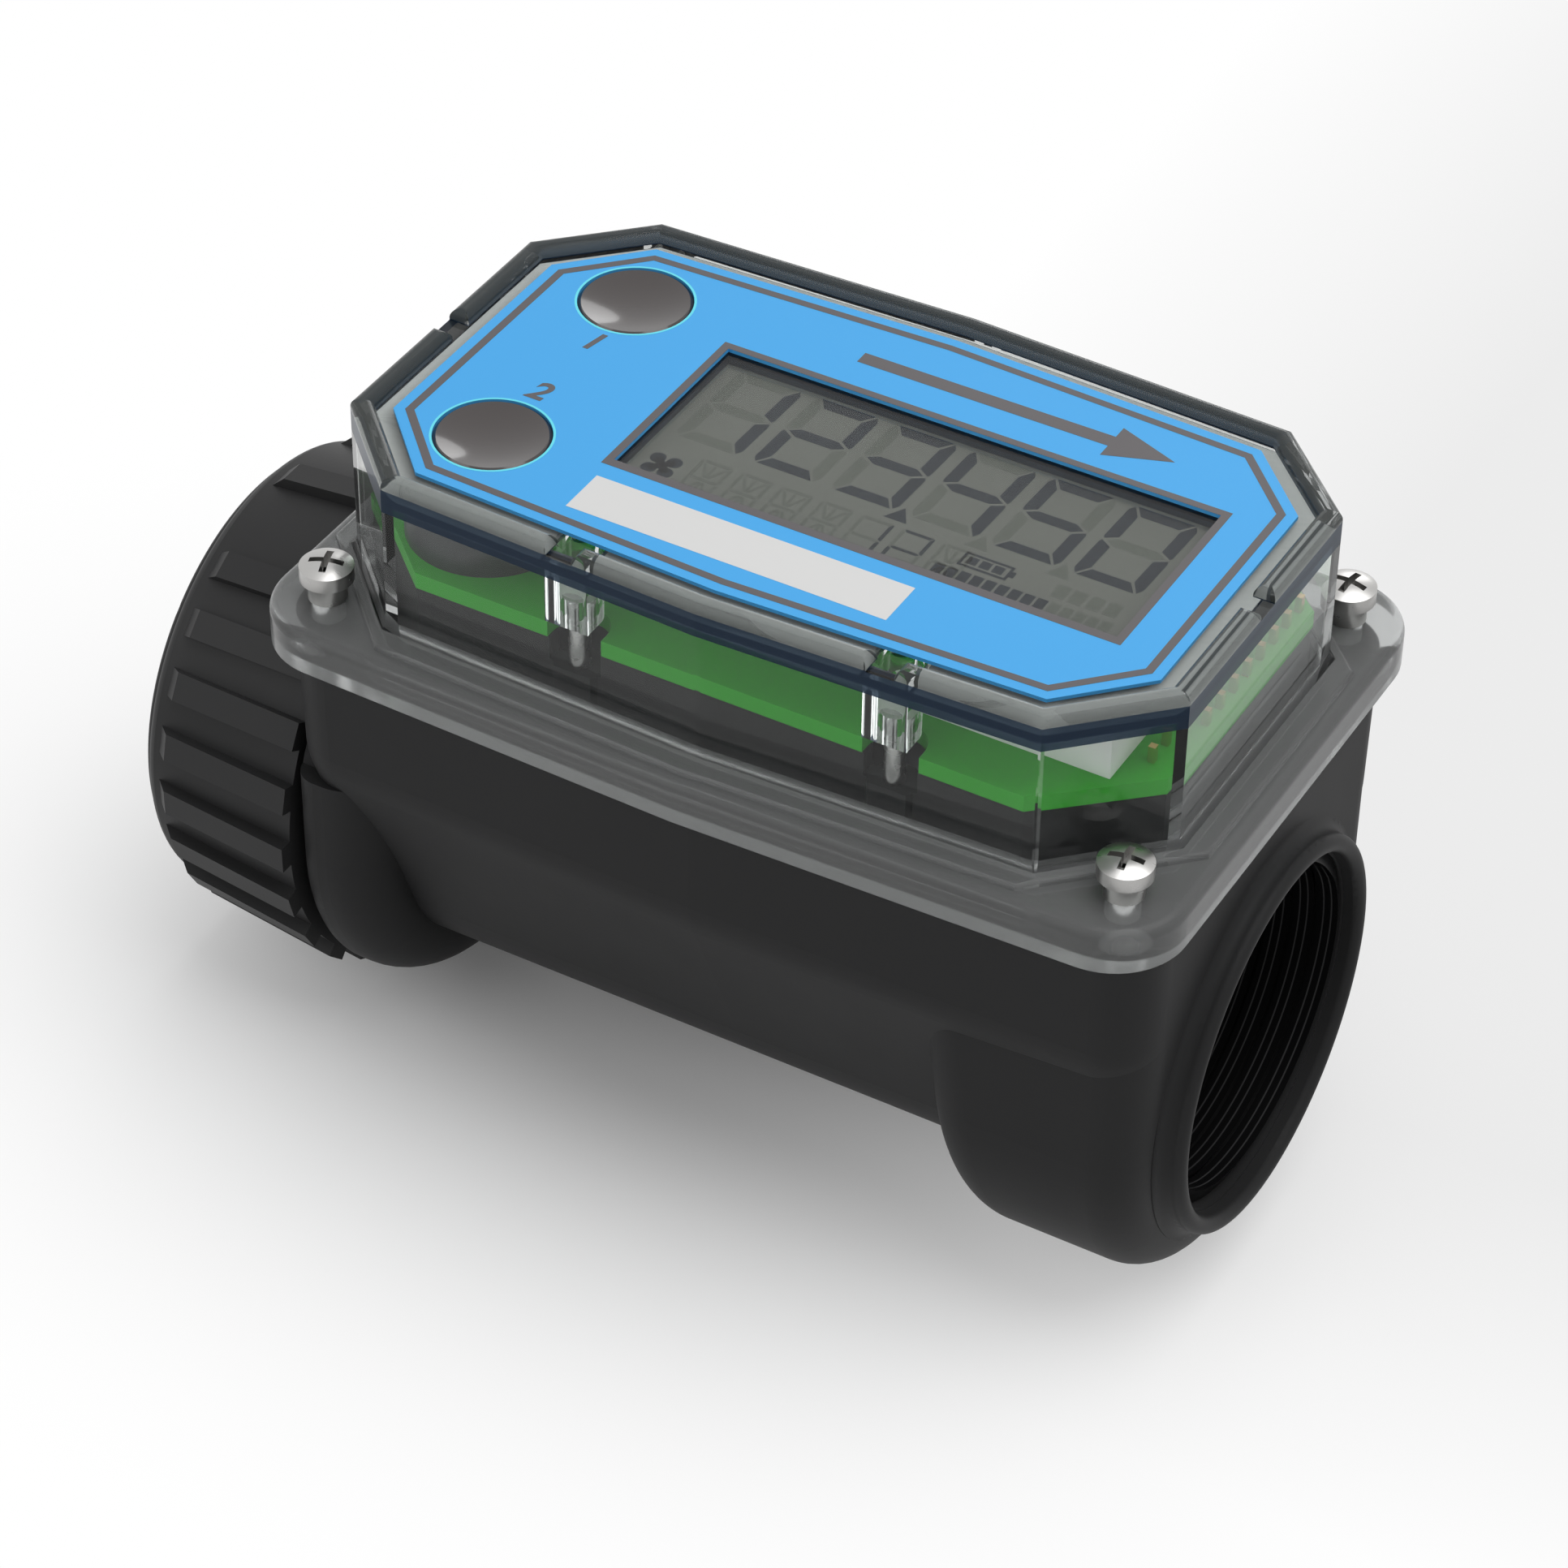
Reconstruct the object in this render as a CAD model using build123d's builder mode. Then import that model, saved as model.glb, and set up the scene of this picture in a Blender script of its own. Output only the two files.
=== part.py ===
"""Turbine flow meter with a threaded pipe body, a clear display cover and a swivel coupling nut.

Frame: X runs along the pipe axis and points out of the threaded port, Z points up out of the
display cover. The origin is on the pipe axis, where the port's thread starts. Millimetres.
"""
import math
import os

from build123d import *

# Pipe thread, one inch, as plain bores at the radius of the thread's root
thread_root_r = 16.6
thread_depth = 17.2
mouth_r = 16.9
mouth_depth = 1.8

# Fits
running_clearance = 0.05
slide_clearance = 0.3
seat_clearance = 0.05
pocket_clearance = 0.35

# Meter body
body_len = 85.0
side_y = 24.2
bow = 1.2
pipe_boss_r = 23.4
body_top = 25.7
knee_z = 12.0
knee_fillet = 9.0
tube_r = 18.0
body_corner_r = 5.0
port_boss_len = 22.8
port_boss_round = 5.0
port_end_round = 4.5
port_boss_top = 18.0
boss_tilt_deg = 8.0
boss_tilt_room = 2.0
nut_boss_len = 8.4
nut_boss_round = 5.0
nut_end_round = 2.4
nut_boss_top = 9.5
collar_len = 2.3
collar_r = 18.6
collar_blend = 1.2
flow_r = 12.7
bore_taper_len = 4.0

# Display cover, clear
cover_setback = 2.3
cover_half_y = 23.1
cover_cut_x = 8.8
cover_cut_y = 8.7
cover_wall = 1.6
cover_deck_top = 44.9
cover_deck_thick = 1.4
flange_over_x = 1.6
flange_over_y = 2.8
flange_thick = 4.1
flange_corner_r = 6.8
flange_edge_round = 1.0
foot_round = 0.8
plinth_rise = 0.6
plinth_inset = 1.3
plinth_cut_more = 3.0
plinth_round = 0.4
bead_width = 2.0
bead_top = 46.0
bead_notch = 2.6
bead_round = 0.84
screw_inset_x = 3.8
screw_inset_y = 2.9

# Cover screws
screw_shank_r = 1.25
screw_hole_r = 1.5
screw_neck_r = 1.75
screw_neck_len = 2.0
screw_head_r = 2.65
screw_head_len = 1.9
screw_depth = 8.0
screw_hole_room = 0.5
screw_point = 0.7
screw_crown = 0.8

# Cover seal
seal_width = 1.5
seal_height = 1.2

# Faceplate and what lies under the deck
label_inset_x = 3.4
label_inset_y = 3.35
label_cut_x = 6.75
label_cut_y = 6.9
label_thick = 0.35
window_from_button = 10.8
window_half_y = 9.6
window_inset = 5.6
button_inset = 9.4
button_y = 11.8
button_hole_r = 5.2
carrier_thick = 0.9
bezel_thick = 0.6
bezel_rim = 1.3
lcd_thick = 2.2
holder_front_y = 15.4
holder_over = 2.6
holder_wall = 1.6
holder_shelf = 1.0

# Buttons
button_travel = 0.8
button_dish = 0.7
cap_edge = 0.3
housing_r = 7.4
housing_bore_r = 5.9
button_flange_r = 5.55
button_flange_thick = 0.8
switch_half = 3.0
switch_stem_r = 1.7
switch_stem_len = 1.0
switch_gap = 0.9

# Circuit board
board_gap_x = 0.7
board_gap_y = 0.8
board_cut_x = 8.6
board_cut_y = 7.8
board_thick = 1.6
board_top = 36.0
header_pitch = 2.54
header_count = 8
header_inset = 1.2
header_first_y = -5.4
header_pin = 0.64
header_rise = 1.6
side_header_inset = 2.2
side_header_count = 2
side_header_gap = 1.4

# Locating pins at the front wall
locator_x = (-13.4, 16.95)
locator_inset = 3.3
locator_r = 0.98
locator_foot = 32.0
locator_len = 7.5
locator_round = 0.7
cradle_r = 2.3
cradle_gap = 0.35
boss_r = 2.1
boss_len = 6.4

# Electronics tray, cells and pickup
pocket_floor = 19.2
tray_wall = 1.6
tray_floor = 1.0
tray_play = 0.1
cell_r = 5.25
cell_len = 44.5
cell_y = 10.2
nub_r = 1.9
nub_len = 1.0
cell_edge_round = 0.5
contact_thick = 0.4
contact_width = 8.5
contact_corner_r = 1.2
spring_out_r = 3.0
spring_in_r = 2.2
saddle_thick = 1.6
saddle_side = 1.0
saddle_x = (-17.0, -8.0, 8.0, 17.0)
pickup_floor = 14.2
bobbin_r = 4.0
bobbin_len = 11.6
bobbin_rim = 0.9
bobbin_tube_r = 2.2
coil_r = 3.6
core_r = 1.6
core_len = 12.6

# Turbine
rotor_len = 12.0
rotor_hub_r = 4.5
blade_count = 6
blade_thick = 1.1
blade_twist = 52.0
blade_stations = 5
blade_inset = 0.6
blade_sink = 1.0
hub_edge_round = 0.5
sleeve_wall = 1.1
tip_gap = 0.5
spigot_bore_step = 0.6
shroud_gap = 0.6
support_len = 15.0
vane_count = 4
vane_thick = 1.3
vane_len = 11.0
vane_setback = 0.6
vane_sink = 1.0
nose_len = 9.0
nose_short = 0.8
nose_bulge_along = 0.62
nose_bulge_out = 0.66
hub_gap = 0.3
shaft_r = 1.0
shaft_seat = 5.0
shaft_play = 0.1
shaft_room = 0.4
shaft_chamfer = 0.2
bush_r = 2.3
bush_len = 3.2
clip_thick = 1.2
clip_depth = 0.7
clip_gap_deg = 50.0
clip_width = 2.0

# Swivel coupling nut
nut_gap = 0.7
nut_len = 17.8
nut_rim_r = 20.6
nut_band_r = 21.8
nut_band_len = 1.8
nut_root_r = 23.2
nut_rib_r = 24.45
nut_rim_round = 0.7
rib_pitch_count = 24
rib_width = 2.7
rib_start = 2.3
rib_ramp = 1.5
rib_low_r = 23.05
rib_root = 1.5
rib_sink = 0.15
rib_skipped = (5, 7, 17, 19)
rib_phase_deg = -0.5
nut_lip_len = 5.0
nut_relief = 0.5
spigot_r = 14.15
spigot_len = 8.6
ring_thick = 1.2
ring_out_r = 16.2
ring_depth = 0.95
ring_play = 0.1
ring_slot = 2.0
gasket_r = 16.2
gasket_thick = 1.8

# Places worked out from the sizes
mouth_x = mouth_depth
port_face = mouth_x - collar_len
nut_face = port_face - body_len
cover_x = port_face - body_len / 2
body_half = body_len / 2
cover_half_x = body_half - cover_setback
label_half_x = cover_half_x - label_inset_x
label_half_y = cover_half_y - label_inset_y
button_x = button_inset - label_half_x
window_x0 = button_x + window_from_button
window_x1 = label_half_x - window_inset
window_len = window_x1 - window_x0
board_half_x = cover_half_x - cover_wall - board_gap_x
board_half_y = cover_half_y - cover_wall - board_gap_y
header_x = board_half_x - header_inset
side_header_x = board_half_x - side_header_inset
holder_x0 = window_x0 - holder_over
holder_x1 = window_x1 + holder_over
locator_y = locator_inset - cover_half_y
sleeve_bore_r = flow_r - sleeve_wall
rotor_tip_r = sleeve_bore_r - tip_gap
spigot_bore_r = sleeve_bore_r - spigot_bore_step
flange_top = body_top + flange_thick
deck_under = cover_deck_top - cover_deck_thick
screw_x = body_half - screw_inset_x
screw_y = side_y - screw_inset_y
bore_shoulder = -thread_depth
rotor_port_end = cover_x + rotor_len / 2
rotor_nut_end = cover_x - rotor_len / 2
sleeve_port_end = rotor_port_end + shroud_gap
cartridge_port_end = sleeve_port_end + support_len
cartridge_nut_end = rotor_nut_end - hub_gap - support_len - shroud_gap
tray_top = board_top - board_thick
carrier_under = deck_under - carrier_thick
nut_port_face = nut_face - nut_gap
nut_outer_face = nut_port_face - nut_len
lip_face = nut_port_face - nut_lip_len
spigot_end = nut_face - spigot_len
gasket_face = spigot_end - gasket_thick
nut_bore_r = thread_root_r
cell_axis_z = pocket_floor + tray_floor + cell_r + seat_clearance


def deck(z):
    """Plane at height z, centred on the display cover."""
    return Plane((cover_x, 0, z))


def eight(half_x, half_y, cut_x, cut_y):
    """Corners of a rectangle with its four corners cut off."""
    flat_x = half_x - cut_x
    flat_y = half_y - cut_y
    quarter = [(half_x, flat_y), (flat_x, half_y)]
    left = [(-x, y) for x, y in reversed(quarter)]
    below = [(-x, -y) for x, y in quarter + left]
    return quarter + left + below


def ten(half_x, half_y, cut_x, cut_y, inset=0.0):
    """Corners of a rectangle with cut corners, its long sides bowed out to a middle corner.

    Each side is moved in by the inset.
    """
    cut_normal = math.atan2(cut_x, cut_y)
    bow_normal = math.atan2(half_x - cut_x, bow)
    low_turn = cut_normal / 2
    high_turn = (bow_normal - cut_normal) / 2
    low_shift = inset / math.cos(low_turn)
    high_shift = inset / math.cos(high_turn)
    high_way = cut_normal + high_turn
    low = (half_x - low_shift * math.cos(low_turn), half_y - cut_y - low_shift * math.sin(low_turn))
    high = (half_x - cut_x - high_shift * math.cos(high_way), half_y - high_shift * math.sin(high_way))
    middle = (0, half_y + bow - inset / math.sin(bow_normal))
    upper = [low, high, middle, (-high[0], high[1]), (-low[0], low[1])]
    lower = [(-x, -y) for x, y in upper]
    return upper + lower


def cover_outline(inset):
    """Corners of the cover's dome, moved in by the inset."""
    return ten(cover_half_x, cover_half_y, cover_cut_x, cover_cut_y, inset)


def touch_point(y, z, radius):
    """Where the lower tangent from a point touches a circle about the pipe axis."""
    angle = math.atan2(z, y) - math.acos(radius / math.hypot(y, z))
    return (radius * math.cos(angle), radius * math.sin(angle))


def boss_section(top_z):
    """Section of a boss: a circle that runs straight up into the block."""
    Circle(pipe_boss_r)
    with Locations((0, top_z / 2)):
        Rectangle(2 * pipe_boss_r, top_z)


def block_section(half_y):
    """Section of the meter body: a drafted block, knees rounded, over the flow tube."""
    knee_y = half_y - (side_y - pipe_boss_r) * (body_top - knee_z) / body_top
    corners = [(half_y, body_top), (knee_y, knee_z), touch_point(knee_y, knee_z, tube_r)]
    outline = Polygon(*corners, *[(-y, z) for y, z in reversed(corners)], align=None)
    fillet(outline.vertices().filter_by(lambda v: abs(v.Y - knee_z) < 0.1), knee_fillet)
    Circle(tube_r)


def board_outline(inset):
    """Corners of the board's outline, moved in by the inset."""
    shrink = inset * math.tan(math.radians(22.5))
    return eight(board_half_x - inset, board_half_y - inset, board_cut_x - shrink, board_cut_y - shrink)


window_mid_x = (window_x0 + window_x1) / 2
holder_mid_x = (holder_x0 + holder_x1) / 2
holder_len = holder_x1 - holder_x0
bezel_under = deck_under - bezel_thick
lcd_under = bezel_under - lcd_thick
lcd_seat_x = window_len + 2 * bezel_rim + 2 * seat_clearance
lcd_seat_y = 2 * (window_half_y + bezel_rim + seat_clearance)
button_spots = [(button_x, button_y), (button_x, -button_y)]
screw_spots = [(sx * screw_x, sy * screw_y) for sx in (-1, 1) for sy in (-1, 1)]
locator_spots = [(x, locator_y) for x in locator_x]


# Meter body: block under the cover, flow tube, two round bosses, port collar and spigot
with BuildPart() as meter_body:
    for place, half_y in ((port_face, side_y), (cover_x, side_y + bow), (nut_face, side_y)):
        with BuildSketch(Plane.YZ.offset(place)):
            block_section(half_y)
    loft(ruled=True)
    end_edges = meter_body.edges().filter_by(lambda e: abs(abs(e.center().X - cover_x) - body_half) < 0.1)
    uprights = end_edges.filter_by(lambda e: knee_z < e.center().Z < body_top - 0.1)
    fillet(uprights, body_corner_r)

with BuildPart() as port_boss:
    with BuildSketch(Plane.YZ.offset(port_face)):
        boss_section(port_boss_top)
    extrude(amount=-port_boss_len - boss_tilt_room)
    # The flank leans, so that the boss is shorter at the bottom
    tilt = math.radians(boss_tilt_deg)
    flank_plane = Plane((port_face - port_boss_len, 0, knee_z), z_dir=(math.cos(tilt), 0, math.sin(tilt)))
    split(bisect_by=flank_plane, keep=Keep.TOP)
    rim = port_boss.faces().sort_by(Axis.X)[-1].edges()
    fillet(rim.filter_by(lambda e: e.center().Z < port_boss_top - 0.1), port_end_round)
    flank = port_boss.faces().sort_by(Axis.X)[0].edges()
    fillet(flank.filter_by(lambda e: e.center().Z < port_boss_top - 0.1), port_boss_round)

with BuildPart() as nut_boss:
    with BuildSketch(Plane.YZ.offset(nut_face)):
        boss_section(nut_boss_top)
    extrude(amount=nut_boss_len)
    rim = nut_boss.faces().sort_by(Axis.X)[0].edges()
    fillet(rim.filter_by(lambda e: e.center().Z < nut_boss_top - 0.1), nut_end_round)
    flank = nut_boss.faces().sort_by(Axis.X)[-1].edges()
    fillet(flank.filter_by(lambda e: e.center().Z < nut_boss_top - 0.1), nut_boss_round)

with meter_body:
    add(port_boss.part)
    add(nut_boss.part)
    with BuildSketch(Plane.XZ):
        # Port collar with a full round lip, blended into the end face
        with BuildLine():
            lip_r = (collar_r - mouth_r) / 2
            lip_x = mouth_x - lip_r
            blend_r = collar_r + collar_blend
            Line((port_face - 1, flow_r), (port_face - 1, blend_r))
            Line((port_face - 1, blend_r), (port_face, blend_r))
            RadiusArc((port_face, blend_r), (port_face + collar_blend, collar_r), -collar_blend)
            Line((port_face + collar_blend, collar_r), (lip_x, collar_r))
            ThreePointArc((lip_x, collar_r), (mouth_x, (collar_r + mouth_r) / 2), (lip_x, mouth_r))
            Line((lip_x, mouth_r), (lip_x, flow_r))
            Line((lip_x, flow_r), (port_face - 1, flow_r))
        make_face()
    revolve(axis=Axis.X)
    with BuildSketch(Plane.YZ.offset(nut_face)):
        Circle(spigot_r)
    extrude(amount=-spigot_len)
    # Stepped bore: mouth, thread, flow bore, taper and spigot bore, with its clip groove
    with BuildSketch(Plane.XZ):
        with BuildLine():
            Polyline(
                (mouth_x + 1, 0),
                (mouth_x + 1, mouth_r),
                (0, mouth_r),
                (0, thread_root_r),
                (bore_shoulder, thread_root_r),
                (bore_shoulder, flow_r),
                (cartridge_nut_end, flow_r),
                (cartridge_nut_end, sleeve_bore_r),
                (cartridge_nut_end - bore_taper_len, spigot_bore_r),
                (spigot_end - 1, spigot_bore_r),
                (spigot_end - 1, 0),
                close=True,
            )
        make_face()
        with Locations((cartridge_port_end + seat_clearance + clip_thick / 2, flow_r)):
            Rectangle(clip_thick + 2 * seat_clearance, 2 * clip_depth)
    revolve(axis=Axis.X, mode=Mode.SUBTRACT)
    # Groove for the ring that keeps the nut on
    with BuildSketch(Plane.XZ):
        with Locations((lip_face - ring_play - ring_thick / 2, spigot_r)):
            Rectangle(ring_thick + 2 * seat_clearance, 2 * ring_depth)
    revolve(axis=Axis.X, mode=Mode.SUBTRACT)
    # Pocket for the electronics tray, with a deeper well for the pickup
    with BuildSketch(deck(pocket_floor)):
        Polygon(*board_outline(-pocket_clearance), align=None)
    extrude(amount=body_top - pocket_floor + 1, mode=Mode.SUBTRACT)
    with BuildSketch(deck(pickup_floor)):
        Circle(bobbin_r + seat_clearance)
    extrude(amount=pocket_floor - pickup_floor + 1, mode=Mode.SUBTRACT)
    # Seal groove around the pocket
    with BuildSketch(deck(body_top - seal_height)):
        groove_half = seal_width / 2 + seat_clearance
        Polygon(*cover_outline(cover_wall / 2 - groove_half), align=None)
        Polygon(*cover_outline(cover_wall / 2 + groove_half), align=None, mode=Mode.SUBTRACT)
    extrude(amount=seal_height + 1, mode=Mode.SUBTRACT)
    with BuildSketch(deck(body_top - screw_depth - screw_hole_room)):
        with Locations(screw_spots):
            Circle(screw_shank_r + running_clearance)
    extrude(amount=screw_depth + screw_hole_room + 1, mode=Mode.SUBTRACT)

# Clear cover: flange, eight-sided dome, raised bead and two pin bosses
with BuildPart() as clear_cover:
    with BuildSketch(deck(body_top)):
        rim_x = body_half + flange_over_x
        rim_y = side_y + flange_over_y
        back = [(rim_x, rim_y), (0, rim_y + bow), (-rim_x, rim_y)]
        rim = Polygon(*back, *[(-x, -y) for x, y in back], align=None)
        fillet(rim.vertices().filter_by(lambda v: abs(v.X) > body_half), flange_corner_r)
    extrude(amount=flange_thick)
    fillet(clear_cover.faces().sort_by(Axis.Z)[-1].edges(), flange_edge_round)
    # Plinth round the dome's foot, cut off before the screws
    with BuildSketch(deck(flange_top)):
        plinth_cut_x = cover_cut_x + plinth_cut_more
        plinth_cut_y = cover_cut_y + plinth_cut_more
        Polygon(*ten(rim_x - plinth_inset, rim_y - plinth_inset, plinth_cut_x, plinth_cut_y), align=None)
    extrude(amount=plinth_rise)
    fillet(clear_cover.faces().sort_by(Axis.Z)[-1].edges(), plinth_round)
    with BuildSketch(deck(body_top)):
        Polygon(*cover_outline(0), align=None)
    extrude(amount=cover_deck_top - body_top)
    dome_foot_z = flange_top + plinth_rise
    fillet(clear_cover.edges(Select.LAST).filter_by(lambda e: abs(e.center().Z - dome_foot_z) < 0.01), foot_round)
    with BuildSketch(deck(body_top)):
        Polygon(*cover_outline(cover_wall), align=None)
    extrude(amount=deck_under - body_top, mode=Mode.SUBTRACT)
    # Raised bead around the deck, open at the middle of both ends and above the pins
    with BuildSketch(deck(cover_deck_top)):
        Polygon(*cover_outline(0), align=None)
        Polygon(*cover_outline(bead_width), align=None, mode=Mode.SUBTRACT)
        with Locations((-cover_half_x, 0), (cover_half_x, 0)):
            Rectangle(3 * bead_width, bead_notch, mode=Mode.SUBTRACT)
        with Locations([(x, -cover_half_y) for x in locator_x]):
            Rectangle(bead_notch, 3 * bead_width, mode=Mode.SUBTRACT)
    extrude(amount=bead_top - cover_deck_top)
    crest = clear_cover.faces().filter_by(lambda f: abs(f.center().Z - bead_top) < 0.01).edges()
    fillet(crest, bead_round)
    # Pin bosses on the inside of the front wall, each with a blind hole
    with BuildSketch(deck(deck_under - boss_len)):
        with Locations(locator_spots):
            Circle(boss_r)
            with Locations((0, -boss_r / 2)):
                Rectangle(2 * boss_r, boss_r)
        Polygon(*cover_outline(cover_wall / 2), align=None, mode=Mode.INTERSECT)
    extrude(amount=boss_len + 0.1)
    with BuildSketch(deck(deck_under - boss_len)):
        with Locations(locator_spots):
            Circle(locator_r + seat_clearance)
    hole_top = locator_foot + locator_len + seat_clearance
    extrude(amount=hole_top - (deck_under - boss_len), mode=Mode.SUBTRACT)
    # Button holes and screw holes
    with BuildSketch(deck(deck_under - 1)):
        with Locations(button_spots):
            Circle(button_hole_r)
    extrude(amount=cover_deck_thick + 2, mode=Mode.SUBTRACT)
    with BuildSketch(deck(body_top)):
        with Locations(screw_spots):
            Circle(screw_hole_r)
    extrude(amount=flange_thick, mode=Mode.SUBTRACT)

with BuildPart() as cover_seal:
    with BuildSketch(deck(body_top - seal_height)):
        Polygon(*cover_outline(cover_wall / 2 - seal_width / 2), align=None)
        Polygon(*cover_outline(cover_wall / 2 + seal_width / 2), align=None, mode=Mode.SUBTRACT)
    extrude(amount=seal_height)

# Four pan-head screws, each with a shoulder that stands on the flange
with BuildPart() as one_screw:
    with BuildSketch(Plane.XZ):
        with BuildLine():
            head_base = flange_top + screw_neck_len
            head_top = head_base + screw_head_len
            screw_tip = body_top - screw_depth
            Polyline(
                (0, head_top),
                (0, screw_tip),
                (screw_shank_r - screw_point, screw_tip),
                (screw_shank_r, screw_tip + screw_point),
                (screw_shank_r, flange_top),
                (screw_neck_r, flange_top),
                (screw_neck_r, head_base),
                (screw_head_r, head_base),
                (screw_head_r, head_top - screw_crown),
            )
            TangentArc((0, head_top), (screw_head_r, head_top - screw_crown), tangent=(1, 0))
        make_face()
    revolve(axis=Axis.Z)
with BuildPart() as cover_screws:
    with Locations([(cover_x + x, y, 0) for x, y in screw_spots]):
        add(one_screw.part)

# Printed faceplate on the deck
with BuildPart() as faceplate:
    with BuildSketch(deck(cover_deck_top)):
        Polygon(*ten(label_half_x, label_half_y, label_cut_x, label_cut_y), align=None)
        with Locations((window_mid_x, 0)):
            Rectangle(window_len, 2 * window_half_y, mode=Mode.SUBTRACT)
        with Locations(button_spots):
            Circle(button_hole_r, mode=Mode.SUBTRACT)
    extrude(amount=label_thick)

# White carrier plate under the deck
with BuildPart() as carrier_plate:
    with BuildSketch(deck(carrier_under)):
        Polygon(*cover_outline(cover_wall + seat_clearance), align=None)
        with Locations((window_mid_x, 0)):
            Rectangle(lcd_seat_x, lcd_seat_y, mode=Mode.SUBTRACT)
        with Locations(button_spots):
            Circle(button_hole_r, mode=Mode.SUBTRACT)
        with Locations(locator_spots):
            Circle(boss_r + cradle_gap, mode=Mode.SUBTRACT)
        with Locations([(x, locator_y - boss_r) for x in locator_x]):
            Rectangle(2 * (boss_r + cradle_gap), 2 * boss_r, mode=Mode.SUBTRACT)
    extrude(amount=carrier_thick)

# Dark frame around the display, in the carrier's opening
with BuildPart() as lcd_bezel:
    with BuildSketch(deck(bezel_under)):
        with Locations((window_mid_x, 0)):
            Rectangle(window_len + 2 * bezel_rim, 2 * (window_half_y + bezel_rim))
            Rectangle(window_len, 2 * window_half_y, mode=Mode.SUBTRACT)
    extrude(amount=bezel_thick)

with BuildPart() as lcd_panel:
    with BuildSketch(deck(lcd_under)):
        with Locations((window_mid_x, 0)):
            Rectangle(window_len + 2 * bezel_rim, 2 * (window_half_y + bezel_rim))
    extrude(amount=lcd_thick)

# White holder that stands on the board and carries the display
with BuildPart() as lcd_holder:
    with BuildSketch(deck(board_top)):
        with Locations((holder_mid_x, 0)):
            Rectangle(holder_len, 2 * holder_front_y)
    extrude(amount=carrier_under - board_top)
    with BuildSketch(deck(lcd_under)):
        with Locations((window_mid_x, 0)):
            Rectangle(lcd_seat_x, lcd_seat_y)
    extrude(amount=carrier_under - lcd_under, mode=Mode.SUBTRACT)
    with BuildSketch(deck(board_top)):
        with Locations((holder_mid_x, 0)):
            Rectangle(holder_len - 2 * holder_wall, 2 * (holder_front_y - holder_wall))
    extrude(amount=lcd_under - holder_shelf - board_top, mode=Mode.SUBTRACT)

# Circuit board with notches around the pin cradles
with BuildPart() as circuit_board:
    with BuildSketch(deck(tray_top)):
        Polygon(*board_outline(0), align=None)
        with Locations(locator_spots):
            Circle(cradle_r + cradle_gap, mode=Mode.SUBTRACT)
        with Locations([(x, locator_y - cradle_r) for x in locator_x]):
            Rectangle(2 * (cradle_r + cradle_gap), 2 * cradle_r, mode=Mode.SUBTRACT)
        header_spots = [(header_x, header_first_y + header_pitch * i) for i in range(header_count)]
        side_first_y = header_first_y - header_pitch * side_header_gap
        side_spots = [(side_header_x, side_first_y - header_pitch * i) for i in range(side_header_count)]
        with Locations(header_spots + side_spots):
            Rectangle(header_pin, header_pin, mode=Mode.SUBTRACT)
        Circle(core_r + cradle_gap, mode=Mode.SUBTRACT)
    extrude(amount=board_thick)

with BuildPart() as header_pins:
    with BuildSketch(deck(tray_top)):
        with Locations(header_spots + side_spots):
            Rectangle(header_pin, header_pin)
    extrude(amount=board_thick + header_rise)

# Round black housings that guide the two buttons
with BuildPart() as button_housings:
    with BuildSketch(deck(board_top)):
        with Locations(button_spots):
            Circle(housing_r)
            Circle(housing_bore_r, mode=Mode.SUBTRACT)
    extrude(amount=carrier_under - board_top)

switch_top = carrier_under - button_flange_thick - button_travel - switch_gap
with BuildPart() as tact_switches:
    with BuildSketch(deck(board_top)):
        with Locations(button_spots):
            Rectangle(2 * switch_half, 2 * switch_half)
    extrude(amount=switch_top - switch_stem_len - board_top)
    with BuildSketch(deck(switch_top - switch_stem_len)):
        with Locations(button_spots):
            Circle(switch_stem_r)
    extrude(amount=switch_stem_len)

# Push buttons: a dished cap, a stop flange under the carrier and a short foot over the switch
cap_r = button_hole_r - running_clearance
cap_top = cover_deck_top + label_thick
flange_z = carrier_under
stop_z = flange_z - button_flange_thick
foot_z = switch_top + button_travel + running_clearance
with BuildPart() as one_button:
    with BuildSketch(Plane.XZ):
        with BuildLine():
            Line((0, foot_z), (switch_stem_r, foot_z))
            Line((switch_stem_r, foot_z), (switch_stem_r, stop_z))
            Line((switch_stem_r, stop_z), (button_flange_r, stop_z))
            Line((button_flange_r, stop_z), (button_flange_r, flange_z))
            Line((button_flange_r, flange_z), (cap_r, flange_z))
            Line((cap_r, flange_z), (cap_r, cap_top - cap_edge))
            Line((cap_r, cap_top - cap_edge), (cap_r - cap_edge, cap_top))
            TangentArc((0, cap_top - button_dish), (cap_r - cap_edge, cap_top), tangent=(1, 0))
            Line((0, cap_top - button_dish), (0, foot_z))
        make_face()
    revolve(axis=Axis.Z)
with BuildPart() as upper_button:
    with Locations((cover_x + button_x, button_y, 0)):
        add(one_button.part)
with BuildPart() as lower_button:
    with Locations((cover_x + button_x, -button_y, 0)):
        add(one_button.part)

# Steel locating pins, round at the top
with BuildPart() as locating_pins:
    with BuildSketch(deck(locator_foot)):
        with Locations(locator_spots):
            Circle(locator_r)
    extrude(amount=locator_len)
    fillet(locating_pins.edges().group_by(Axis.Z)[-1], locator_round)

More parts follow.
